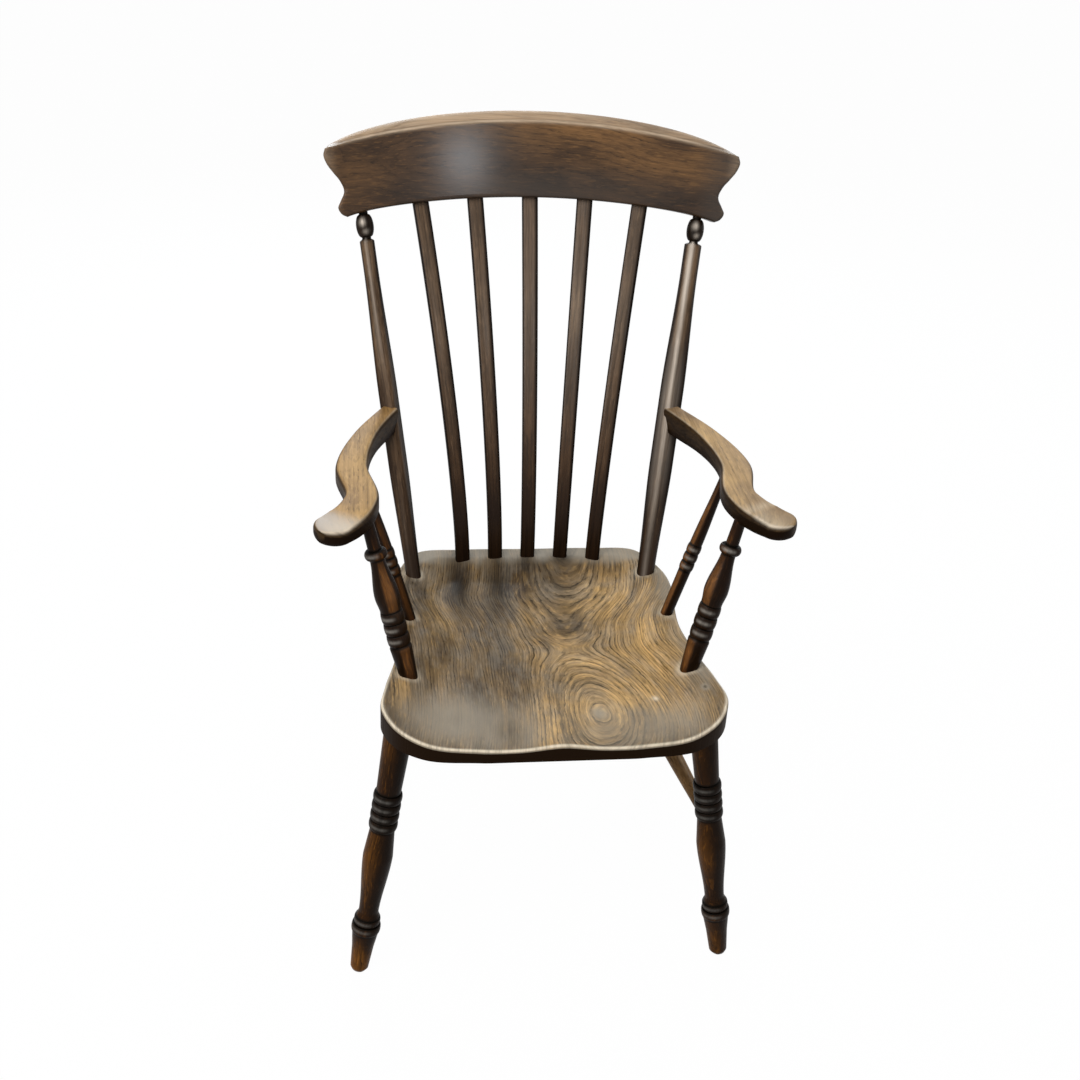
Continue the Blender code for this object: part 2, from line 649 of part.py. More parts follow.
def build_lath(index, chair, seat, crest, finish):
    """One bent lath, let into the seat and into the rail's lower edge."""
    place = index - (LATH_COUNT - 1) / 2
    along_rail, foot_x = place * LATH_TOP_SPACING, place * LATH_FOOT_SPACING
    facing = along_rail / CREST_RADIUS
    foot_y = SEAT_BACK - LATH_SETBACK - CREST_RADIUS + math.sqrt(CREST_RADIUS**2 - foot_x**2)
    foot = Vector((foot_x, foot_y, SEAT_HEIGHT))
    head = Vector(crest_point(along_rail, crest_lower_edge(along_rail), CREST_THICKNESS / 2))
    height = head.z - foot.z
    below, above, gap = SEAT_TENON / height, LATH_CREST_TENON / height, CLEARANCE / height
    stations = np.linspace(0.0, 1.0, LATH_STATIONS + 1)
    sections = [lath_ring(foot, head, share, facing) for share in (-below, *stations, 1 + above)]
    add_piece(f"back_lath_{index + 1}", loft(sections), chair, finish, at(foot))
    for holder, shares in (
        (seat, (-below - gap, stations[0], stations[1])),
        (crest, (stations[-2], stations[-1], 1 + above + gap)),
    ):
        hole = [lath_ring(foot, head, share, facing, CLEARANCE) for share in shares]
        mortise(holder, loft(hole), chair, at(foot))


# Posts


def post_axis(side):
    """Where a post's axis meets the seat's rim and the rail's lower edge."""
    foot = seat_point(SEAT_BACK_WIDTH, POST_INSET, -POST_SETBACK, SEAT_HEIGHT, side)
    along_rail = POST_SPREAD / 2
    head = crest_point(along_rail, crest_lower_edge(along_rail), CREST_THICKNESS / 2)
    return foot, mirrored(head, side)


def post_place(side):
    """Place of a post: Z up its axis, X square to the face that takes the arm."""
    foot, head = post_axis(side)
    up = (head - foot).normalized()
    joint = foot + up * ((ARM_TOP - ARM_END_THICKNESS / 2 - foot.z) / up.z)
    facing = mirrored((*arm_place(ARM_SHOULDER)[:2], joint.z), side) - joint
    facing = (facing - up * facing.dot(up)).normalized()
    turned = Matrix((facing, up.cross(facing), up)).transposed()
    return Matrix.LocRotScale(foot, turned.to_quaternion(), None), (joint - foot).length


def post_ring(height, half, roundness):
    """Square section with round corners. At roundness 1 it is a circle."""
    radius = half * roundness
    points = []
    for corner in range(4):
        middle = math.radians(45 + 90 * corner)
        centre = Vector((math.cos(middle), math.sin(middle), 0)) * math.sqrt(2) * (half - radius)
        for turn_by in (-30, 0, 30):
            angle = middle + math.radians(turn_by)
            points.append(centre + Vector((radius * math.cos(angle), radius * math.sin(angle), height)))
    return points


def post_section(height, length):
    """Half width and roundness of a post's shaft: squared where it takes the arm, round towards both ends."""
    joint = post_place(1)[1]
    squared = smoothstep(height, 0.0, 0.7 * joint) * smoothstep(-height, -0.85 * length, -1.15 * joint)
    squared = float(squared)
    end = POST_FOOT_DIAMETER if height < joint else POST_TOP_DIAMETER
    return (end + (POST_WIDTH - end) * squared) / 2, 1 + (POST_ARRIS - 1) * squared


def build_post(side_name, chair, seat, crest, finish):
    """One post with its ball, let into the seat and the rail. Returns it."""
    side = SIDES[side_name]
    foot, head = post_axis(side)
    place, length = post_place(side)[0], (head - foot).length
    neck, ball = POST_NECK_DIAMETER / 2, POST_BALL_DIAMETER / 2
    ball_foot = length - POST_BALL_GAP - POST_BALL_HEIGHT
    shaft_top = ball_foot - 0.9 * neck
    shaft = [post_ring(h, *post_section(h, length)) for h in (-SEAT_TENON, *np.linspace(0, shaft_top, 8))]
    turned = joined(
        [(ball_foot - 0.6 * neck, 0.8 * POST_TOP_DIAMETER / 2), (ball_foot - 0.4 * neck, neck)],
        bead(ball_foot, POST_BALL_HEIGHT, neck, ball),
        [(length, neck), (length + POST_CREST_TENON, tapered(neck, POST_CREST_TENON))],
    )
    head_rings = [post_ring(height, radius, 1.0) for height, radius in turned]
    post = add_piece(f"back_post_{side_name}", loft(shaft + head_rings), chair, finish, place)
    half, roundness = post_section(0.0, length)
    levels = (-SEAT_TENON - CLEARANCE, POST_FOOT_DIAMETER)
    foot_hole = [post_ring(level, half + CLEARANCE, roundness) for level in levels]
    mortise(seat, loft(foot_hole), chair, place)
    head_hole = [post_ring(h, radius, 1.0) for h, radius in bore(length, neck, POST_CREST_TENON, 1)]
    mortise(crest, loft(head_hole), chair, place)
    return post


def build_back(chair, seat):
    """Rail, laths and posts. Returns the posts by side."""
    finish = wood("back_wood", (0.16, 0.10, 0.06), 0.35)
    crest = build_crest(chair)
    for index in range(LATH_COUNT):
        build_lath(index, chair, seat, crest, finish)
    return {side_name: build_post(side_name, chair, seat, crest, finish) for side_name in SIDES}


# Arms


def arm_place(spot):
    """Place in plan and width at a spot of the right arm."""
    outward, back, width = spot
    return np.array((SEAT_BACK_WIDTH / 2 + outward, back, width))


def arm_joint():
    """Right arm's end at the post: its middle, the post's normal there, and the directions across and up."""
    place, height = post_place(1)
    foot, head = post_axis(1)
    half = post_section(height, (head - foot).length)[0]
    normal = place.to_3x3() @ Vector((1, 0, 0))
    middle = place @ Vector((half + CLEARANCE, 0, height))
    across = normal.cross(Vector((0, 0, 1))).normalized()
    return middle, normal, across, across.cross(normal)


def arm_section(width, top, bottom):
    """Arm's section as (across, height) points, with its edges rounded over."""
    half, deep = width / 2, (top - bottom) / 2
    corners = eased_corners(half, deep, min(ARM_EDGE_ROUND, 0.8 * half))
    return [(across, bottom + deep + rise) for across, rise in corners]


def arm_tenon(grow):
    """Tenon of the right arm in the post: two rings of eight points, the second deep in the post."""
    middle, normal, across, up = arm_joint()
    radius, length = ARM_TENON_DIAMETER / 2 + grow, ARM_TENON_LENGTH + grow
    angles = [math.radians(22.5 + 45 * corner) for corner in range(8)]
    ring = [middle + radius * (across * math.cos(angle) + up * math.sin(angle)) for angle in angles]
    return ring, [point - normal * length for point in ring]


def arm_rings():
    """Rings of the right arm from its tenon to the tip of its hand."""
    middle, normal, across, up = arm_joint()
    first = np.array((middle.x, middle.y, ARM_END_WIDTH))
    spots = (ARM_SHOULDER, ARM_ELBOW, ARM_WAIST, ARM_PALM, ARM_KNUCKLE, ARM_FINGER, ARM_TIP)
    points = [first, *(arm_place(spot) for spot in spots)]
    ahead = np.array((normal.x, normal.y, 0.0)) * np.linalg.norm(points[1] - first)
    path = curve_through(points, ARM_STEPS, before=first - ahead)
    run = np.gradient(path[:, :2], axis=0)
    run = run / np.linalg.norm(run, axis=1)[:, None]
    elbow, palm, tip = 2 * ARM_STEPS, 4 * ARM_STEPS, len(path) - 1
    seat_ring, end_ring = arm_tenon(0.0)
    sections = [end_ring, seat_ring]
    for index, (x, y, width) in enumerate(path):
        fall = ARM_HAND_FALL * max(0, index - palm) / (tip - palm)
        deeper = (ARM_END_THICKNESS - ARM_THICKNESS) * smoothstep(-index, -elbow, 0)
        section = arm_section(width, ARM_TOP - fall, ARM_UNDERSIDE - deeper)
        if index == 0:
            ring = [middle + across * wide + up * ((z - middle.z) / up.z) for wide, z in section]
        else:
            side_step = Vector((run[index][1], -run[index][0], 0.0))
            ring = [Vector((x, y, z)) + side_step * wide for wide, z in section]
        sections.append(ring)
    return sections


def build_arm(side_name, chair, post, finish):
    """One arm, tenoned into its post. Returns it."""
    side = SIDES[side_name]
    origin = mirrored(arm_joint()[0], side)
    sections = [[mirrored(point, side) - origin for point in ring] for ring in arm_rings()]
    arm = add_piece(f"arm_{side_name}", loft(sections), chair, finish, at(origin))
    hole = [[mirrored(point, side) - origin for point in ring] for ring in arm_tenon(CLEARANCE)]
    normal = mirrored(arm_joint()[1], side)
    hole[0] = [point + normal * ARM_TENON_DIAMETER for point in hole[0]]
    mortise(post, loft(hole), chair, at(origin))
    return arm


# Supports and spindles


def support_profile(length):
    """Front support from the seat to the arm: ringed base, vase, neck and collar."""
    foot, base, ring = SUPPORT_FOOT_DIAMETER / 2, SUPPORT_BASE_DIAMETER / 2, SUPPORT_RING_DIAMETER / 2
    groove = ring - GROOVE * SUPPORT_RING_HEIGHT
    rings_top = SUPPORT_RING_RISE + SUPPORT_RING_COUNT * SUPPORT_RING_HEIGHT
    vase_at = rings_top + SUPPORT_VASE_RISE
    collar_top = length - SUPPORT_COLLAR_DROP
    collar_foot = collar_top - SUPPORT_COLLAR_HEIGHT
    vase, neck, top = SUPPORT_VASE_DIAMETER / 2, SUPPORT_NECK_DIAMETER / 2, SUPPORT_TOP_DIAMETER / 2
    return joined(
        [(0.0, foot), (0.9 * SUPPORT_RING_RISE, base)],
        rings(SUPPORT_RING_RISE, SUPPORT_RING_COUNT, SUPPORT_RING_HEIGHT, groove, ring),
        [(vase_at, vase)],
        swell(vase_at, collar_foot, vase, neck),
        bead(collar_foot, SUPPORT_COLLAR_HEIGHT, neck, SUPPORT_COLLAR_DIAMETER / 2),
        [(collar_top, top), (length, top)],
    )


def spindle_profile(length):
    """Rear spindle from the seat to the arm, with a group of rings."""
    foot, ring, top = SPINDLE_FOOT_DIAMETER / 2, SPINDLE_RING_DIAMETER / 2, SPINDLE_TOP_DIAMETER / 2
    waist = SPINDLE_WAIST_DIAMETER / 2
    rings_top = SPINDLE_RING_RISE + SPINDLE_RING_COUNT * SPINDLE_RING_HEIGHT
    return joined(
        [(0.0, foot), (SPINDLE_RING_RISE, waist)],
        rings(SPINDLE_RING_RISE, SPINDLE_RING_COUNT, SPINDLE_RING_HEIGHT, waist, ring),
        swell(rings_top, length, waist, top),
    )


def build_stick(name, ends, profile_of, chair, seat, arm, finish):
    """Turned stick between the seat and an arm, with a round tenon in each."""
    start, end = ends
    place, length = along(start, end), (end - start).length
    profile = profile_of(length)
    foot, top = profile[0][1], profile[-1][1]
    arm_depth = ARM_THICKNESS - ARM_WEB
    tenons = [(-SEAT_TENON, tapered(foot, SEAT_TENON))], [(length + arm_depth, tapered(top, arm_depth))]
    add_piece(name, turn(joined(tenons[0], profile, tenons[1])), chair, finish, place)
    mortise(seat, turn(bore(0.0, foot, SEAT_TENON, -1)), chair, place)
    mortise(arm, turn(bore(length, top, arm_depth, 1)), chair, place)


def build_arms(chair, seat, posts):
    """Arms with their supports and spindles."""
    arm_finish = wood("arm_wood", (0.33, 0.22, 0.11), 0.38)
    finish = wood("support_wood", (0.14, 0.06, 0.025), 0.32)
    for side_name, side in SIDES.items():
        arm = build_arm(side_name, chair, posts[side_name], arm_finish)
        foot = seat_point(SEAT_BACK_WIDTH, SUPPORT_INSET, SUPPORT_SETBACK, SEAT_HEIGHT, side)
        waist, elbow = arm_place(ARM_WAIST), arm_place(ARM_ELBOW)
        head = mirrored((waist[0] - SUPPORT_INWARD, waist[1] - SUPPORT_AHEAD, ARM_UNDERSIDE), side)
        build_stick(f"arm_support_{side_name}", (foot, head), support_profile, chair, seat, arm, finish)
        foot = seat_point(SEAT_BACK_WIDTH, SPINDLE_INSET, SPINDLE_SETBACK, SEAT_HEIGHT, side)
        head = mirrored((elbow[0] - SPINDLE_INWARD, elbow[1] - SPINDLE_AHEAD, ARM_UNDERSIDE), side)
        build_stick(f"arm_spindle_{side_name}", (foot, head), spindle_profile, chair, seat, arm, finish)


# Chair


def centre_on_floor(chair):
    """Moves the chair along Y until its box is centred on the origin."""
    bpy.context.view_layer.update()
    shown = bpy.context.evaluated_depsgraph_get()
    reach = []
    for piece in chair.children:
        if not piece.hide_render:
            world = piece.matrix_world
            reach += [(world @ vertex.co).y for vertex in piece.evaluated_get(shown).data.vertices]
    chair.location.y = -(min(reach) + max(reach)) / 2


def main():
    """Builds the chair."""
    for old in list(bpy.data.objects):
        bpy.data.objects.remove(old, do_unlink=True)
    chair = bpy.data.objects.new("chair", None)
    bpy.context.scene.collection.objects.link(chair)
    seat = build_seat(chair)
    build_base(chair, seat)
    posts = build_back(chair, seat)
    build_arms(chair, seat, posts)
    centre_on_floor(chair)


main()
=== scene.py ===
"""Windsor armchair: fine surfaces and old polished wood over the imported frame.

Each piece of wood is worked out as rings of points in the chair's own frame: metres, +Z up, the front
towards -Y, the seat's middle above the origin. Left and right are those of someone who faces the chair.
"""

import logging
import math
from dataclasses import dataclass, field
from enum import Enum
from typing import Iterator, Sequence

import bpy
import numpy as np
from mathutils import Matrix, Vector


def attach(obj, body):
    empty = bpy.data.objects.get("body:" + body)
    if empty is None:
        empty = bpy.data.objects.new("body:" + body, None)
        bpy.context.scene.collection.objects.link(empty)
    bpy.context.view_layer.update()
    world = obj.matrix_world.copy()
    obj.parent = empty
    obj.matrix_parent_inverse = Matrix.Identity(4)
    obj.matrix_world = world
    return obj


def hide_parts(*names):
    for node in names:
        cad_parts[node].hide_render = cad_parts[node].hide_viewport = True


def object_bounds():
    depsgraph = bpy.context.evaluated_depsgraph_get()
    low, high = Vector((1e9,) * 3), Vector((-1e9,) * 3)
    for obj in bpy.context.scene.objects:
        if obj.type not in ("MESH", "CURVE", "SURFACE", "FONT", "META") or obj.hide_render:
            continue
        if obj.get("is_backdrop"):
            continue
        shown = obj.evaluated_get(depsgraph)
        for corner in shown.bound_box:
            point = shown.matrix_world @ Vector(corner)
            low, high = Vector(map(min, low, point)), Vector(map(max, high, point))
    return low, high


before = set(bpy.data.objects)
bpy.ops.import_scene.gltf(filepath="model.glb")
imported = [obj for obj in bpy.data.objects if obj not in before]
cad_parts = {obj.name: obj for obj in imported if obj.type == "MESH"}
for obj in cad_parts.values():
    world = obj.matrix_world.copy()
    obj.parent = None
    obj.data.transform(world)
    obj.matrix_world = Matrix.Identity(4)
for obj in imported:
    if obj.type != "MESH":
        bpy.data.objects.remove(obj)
CAD_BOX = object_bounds()

LOG = logging.getLogger("windsor_armchair")
Array = np.ndarray
Colour = tuple[float, float, float]
Point = Sequence[float]

CHAIR_SHIFT = np.array((0.0, -0.09801, 0.0))  # from the chair's own frame to the row's
SHARP_ANGLE = 48.0  # degrees between faces, past which an edge stays crisp


class Side(Enum):
    """The two halves of the chair."""

    LEFT = -1
    RIGHT = 1

    @property
    def label(self) -> str:
        """Word used in the names of the pieces."""
        return self.name.lower()


# Numbers and curves


def smoothstep(value: Array | float, low: float, high: float) -> Array:
    """S-shaped rise: 3t^2 - 2t^3 of t, the clipped share of the way from low to high.

    Args:
        value: Numbers to map.
        low: Number that gives 0.
        high: Number that gives 1.

    Returns:
        Numbers from 0 to 1.
    """
    share = np.clip((np.asarray(value) - low) / (high - low), 0.0, 1.0)
    return share * share * (3.0 - 2.0 * share)


def bump(value: Array | float, middle: float, reach: float) -> Array:
    """Bell curve: e to the minus square of the distance from the middle over the reach.

    Args:
        value: Numbers to map.
        middle: Number that gives 1.
        reach: Distance at which it has fallen to 0.37.

    Returns:
        Numbers from 0 to 1.
    """
    return np.exp(-(((np.asarray(value) - middle) / reach) ** 2))


def unit(vector: Array) -> Array:
    """Vectors of length 1 along the last axis."""
    return vector / np.linalg.norm(vector, axis=-1, keepdims=True)


def layers(*channels: Array | float) -> Array:
    """Channels brought to one shape and stacked on a new last axis."""
    return np.stack(np.broadcast_arrays(*channels), axis=-1).astype(float)


def strongest(*channels: Array | float) -> Array:
    """Largest of several channels at each point, brought to one shape."""
    return np.maximum.reduce(np.broadcast_arrays(*channels))


def distances(points: Array) -> Array:
    """Distance of each point from the first, along the straight lines between neighbours."""
    return np.concatenate([[0.0], np.cumsum(np.linalg.norm(np.diff(points, axis=0), axis=1))])


def curve_through(
    points: Array, steps: int, before: Array | None = None, after: Array | None = None
) -> Array:
    """Cubic Hermite curve through points, with slopes from their neighbours by chord length.

    Args:
        points: Points to pass, one per row.
        steps: Equal steps between neighbours.
        before: Point beyond the start that sets the slope there.
        after: Point beyond the end that sets the slope there.

    Returns:
        Points of the curve, the given ones among them.
    """
    points = np.asarray(points, float)
    before = 2 * points[0] - points[1] if before is None else before
    after = 2 * points[-1] - points[-2] if after is None else after
    framed = np.vstack([before, points, after])
    knots = distances(framed)
    slopes = np.gradient(framed, knots, axis=0)[1:-1]
    spans = np.diff(knots[1:-1])[:, None, None]
    share = (np.arange(steps) / steps)[None, :, None]
    curve = (1 + 2 * share) * (1 - share) ** 2 * points[:-1, None]
    curve = curve + share * (1 - share) ** 2 * slopes[:-1, None] * spans
    curve = curve + share**2 * (3 - 2 * share) * points[1:, None]
    curve = curve + share**2 * (share - 1) * slopes[1:, None] * spans
    return np.vstack([curve.reshape(-1, points.shape[1]), points[-1:]])


def box_angles(corners: int) -> Array:
    """Directions of the normals round a rounded box, from its right side over the top."""
    quarter = math.pi / 2
    return np.concatenate([np.linspace(turn, turn + quarter, corners) for turn in np.arange(4) * quarter])


def rounded_box(corners: int, half: Array, deep: Array, ease: Array) -> Array:
    """Rectangle with quarter-circle corners: corner centre plus ease times (cos, sin) of the angle.

    Args:
        corners: Points on each corner.
        half: Half widths, one per station.
        deep: Half heights, one per station.
        ease: Corner radii, one per station.

    Returns:
        (station, point, 2) array of (across, up) places.
    """
    half, deep, ease = (np.asarray(size, float).reshape(-1, 1) for size in (half, deep, ease))
    angle = box_angles(corners)
    quadrant = np.repeat(np.arange(4), corners)
    right = np.where((quadrant == 0) | (quadrant == 3), 1.0, -1.0)
    upper = np.where(quadrant < 2, 1.0, -1.0)
    across = right * (half - ease) + ease * np.cos(angle)
    up = upper * (deep - ease) + ease * np.sin(angle)
    return layers(across, up)


def pillow(points: int, half: Array, deep: Array, power: float) -> Array:
    """Soft rectangle: half widths times a signed power of the cosine and sine of a full turn.

    Args:
        points: Points round the section.
        half: Half widths, one per station.
        deep: Half heights, one per station.
        power: 1 is an ellipse, and less is squarer.

    Returns:
        (station, point, 2) array of (across, up) places.
    """
    angle = np.linspace(0.0, math.tau, points, endpoint=False)
    cosine, sine = np.cos(angle), np.sin(angle)
    across = np.asarray(half)[:, None] * np.sign(cosine) * np.abs(cosine) ** power
    up = np.asarray(deep)[:, None] * np.sign(sine) * np.abs(sine) ** power
    return layers(across, up)


# Turned profiles: rows of (height, radius)


def run(*points: Point) -> Array:
    """Straight runs between points of a profile."""
    return np.array(points, float)


def bead(start: float, height: float, root: float, crown: float, flat: float = 1.0, steps: int = 14) -> Array:
    """Bead: height by the cosine of a half turn, and radius by a power of its sine.

    Args:
        start: Height of its lower end.
        height: Its height.
        root: Radius at both ends.
        crown: Radius in its middle.
        flat: Power of the sine: 1 is half-round, and less is flatter, like a disc.
        steps: Steps round the bead.

    Returns:
        Rows of (height, radius).
    """
    angle = np.linspace(0.0, math.pi, steps + 1)
    return layers(start + height * (1 - np.cos(angle)) / 2, root + (crown - root) * np.sin(angle) ** flat)


def beads(start: float, count: int, height: float, root: float, crown: float, flat: float = 0.8) -> Array:
    """Row of beads, one on another."""
    return np.vstack([bead(start + place * height, height, root, crown, flat) for place in range(count)])


def swell(start: float, end: float, first: float, last: float, steps: int = 26) -> Array:
    """Radius that goes from first to last by an S-shaped rise between two heights."""
    heights = np.linspace(start, end, steps + 1)
    return layers(heights, first + (last - first) * smoothstep(heights, start, end))


def turned_profile(*runs: Array, spacing: float = 0.004) -> Array:
    """One profile of several runs, without doubled points and with no long step.

    Args:
        runs: Runs from the bottom up.
        spacing: Longest step along the profile.

    Returns:
        Rows of (height, radius).
    """
    rows = np.vstack(runs)
    step = np.linalg.norm(np.diff(rows, axis=0), axis=1)
    rows = rows[np.concatenate([[True], step > 1e-5])]
    length = distances(rows)
    places = np.union1d(length, np.arange(0.0, length[-1], spacing))
    return layers(np.interp(places, length, rows[:, 0]), np.interp(places, length, rows[:, 1]))


# Surfaces and pieces


@dataclass
class Surface:
    """A closed surface with what its finish reads at each point.

    rings is a (station, point, 3) array of places. grain has the distance across the annual rings, the
    distance along the wood, and a distance across it. marks has worn places and painted highlights, dirty
    places and painted shade, and glow, partly painted light; shade is mostly painted shade, all from 0 to 1.
    """

    rings: Array
    grain: Array
    marks: Array
    shade: Array | float = 0.0

    def faces(self) -> Array:
        """Quads between neighbouring rings, and a ladder of quads across the first and the last ring.

        Returns:
            Rows of four vertex numbers, wound so that the enclosed volume is positive.
        """
        stations, around = self.rings.shape[:2]
        here = np.arange(stations - 1)[:, None] * around + np.arange(around)
        there = np.arange(stations - 1)[:, None] * around + np.roll(np.arange(around), -1)
        walls = np.stack([here, there, there + around, here + around], axis=-1).reshape(-1, 4)
        rung = np.arange(around // 2 - 1)
        ladder = np.stack([around - 1 - rung, around - 2 - rung, rung + 1, rung], axis=-1)
        quads = np.vstack([walls, ladder, ladder[:, ::-1] + (stations - 1) * around])
        corner = self.rings.reshape(-1, 3)[quads]
        volume = np.einsum("ij,ij->", corner[:, 0], np.cross(corner[:, 1], corner[:, 2]))
        volume += np.einsum("ij,ij->", corner[:, 0], np.cross(corner[:, 2], corner[:, 3]))
        return quads if volume > 0 else quads[:, ::-1]

    def mesh(self, name: str) -> bpy.types.Mesh:
        """Mesh in the row's frame, kept inside the frame's box.

        Args:
            name: Name of the mesh.

        Returns:
            A smooth mesh with point attributes grain, marks and shade.
        """
        low, high = (np.array(corner) for corner in CAD_BOX)
        points = np.clip(self.rings.reshape(-1, 3) + CHAIR_SHIFT, low, high)
        mesh = bpy.data.meshes.new(name)
        mesh.from_pydata(points.tolist(), [], self.faces().tolist())
        shape = self.rings.shape
        for label, kind, part, values in (
            ("grain", "FLOAT_VECTOR", "vector", np.broadcast_to(self.grain, shape)),
            ("marks", "FLOAT_VECTOR", "vector", np.broadcast_to(np.clip(self.marks, 0.0, 1.0), shape)),
            ("shade", "FLOAT", "value", np.broadcast_to(np.clip(self.shade, 0.0, 1.0), shape[:2])),
        ):
            attribute = mesh.attributes.new(label, kind, "POINT")
            attribute.data.foreach_set(part, values.astype(np.float32).ravel())
        mesh.shade_smooth()
        mesh.set_sharp_from_angle(angle=math.radians(SHARP_ANGLE))
        mesh.validate()
        return mesh


@dataclass
class Piece:
    """One wooden piece: the node that it stands for, its finish and its surface."""

    node: str
    slot: str
    surface: Surface

    def place(self, material: bpy.types.Material) -> bpy.types.Object:
        """Puts the piece into the scene, dressed, in the place of its node.

        Args:
            material: Finish of the piece.

        Returns:
            The new object.
        """
        shown = bpy.data.objects.new(f"{self.node}_wood", self.surface.mesh(f"{self.node}_wood"))
        shown.data.materials.append(material)
        bpy.context.scene.collection.objects.link(shown)
        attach(shown, "root")
        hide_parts(self.node)
        LOG.info("%s: %d faces, finish %s", shown.name, len(shown.data.polygons), self.slot)
        return shown


class SubAssembly:
    """A group of pieces that are built and dressed together."""

    def pieces(self) -> Iterator[Piece]:
        """The group's pieces, in order."""
        raise NotImplementedError

    def build(self, materials: dict[str, bpy.types.Material]) -> list[bpy.types.Object]:
        """Builds and dresses the group.

        Args:
            materials: Materials by slot.

        Returns:
            The new objects.
        """
        return [piece.place(materials[piece.slot]) for piece in self.pieces()]


def mirrored(point: Point, side: Side) -> Array:
    """A place of the right half, or its mirror image on the left."""
    return np.asarray(point, float) * (side.value, 1.0, 1.0)


def turned(
    profile: Array, start: Array, end: Array, pith: tuple[float, float], sides: int = 56
) -> tuple[Array, Array]:
    """Profile turned about a line: start + height * axis + radius * (cos * first + sin * second).

    The annual rings are circles round a pith beside the piece, so the grain's first channel is the
    distance from that pith.

    Args:
        profile: Rows of (height, radius).
        start: Height 0 of the line.
        end: A later point of the line.
        pith: Place of the pith, across the line.
        sides: Points on each ring.

    Returns:
        Rings of points, and the grain at each.
    """
    axis = unit(np.asarray(end, float) - start)
    first = unit(np.cross(axis, (0.0, 1.0, 0.0) if abs(axis[1]) < 0.7 else (0.0, 0.0, 1.0)))
    second = np.cross(axis, first)
    angle = np.linspace(0.0, math.tau, sides, endpoint=False)
    height, radius = profile[:, 0, None], profile[:, 1, None]
    one, two = radius * np.cos(angle), radius * np.sin(angle)
    rings = start + height[..., None] * axis + one[..., None] * first + two[..., None] * second
    return rings, layers(np.hypot(one - pith[0], two - pith[1]), height, two)


def turned_facing(sides: int) -> tuple[Array, Array]:
    """How far each point of an upright turned ring faces left, and how far it faces ahead and left."""
    angle = np.linspace(0.0, math.tau, sides, endpoint=False)
    return smoothstep(np.cos(angle), -0.60, 0.75), smoothstep(np.cos(angle - 1.05), 0.55, 1.0)


# Seat


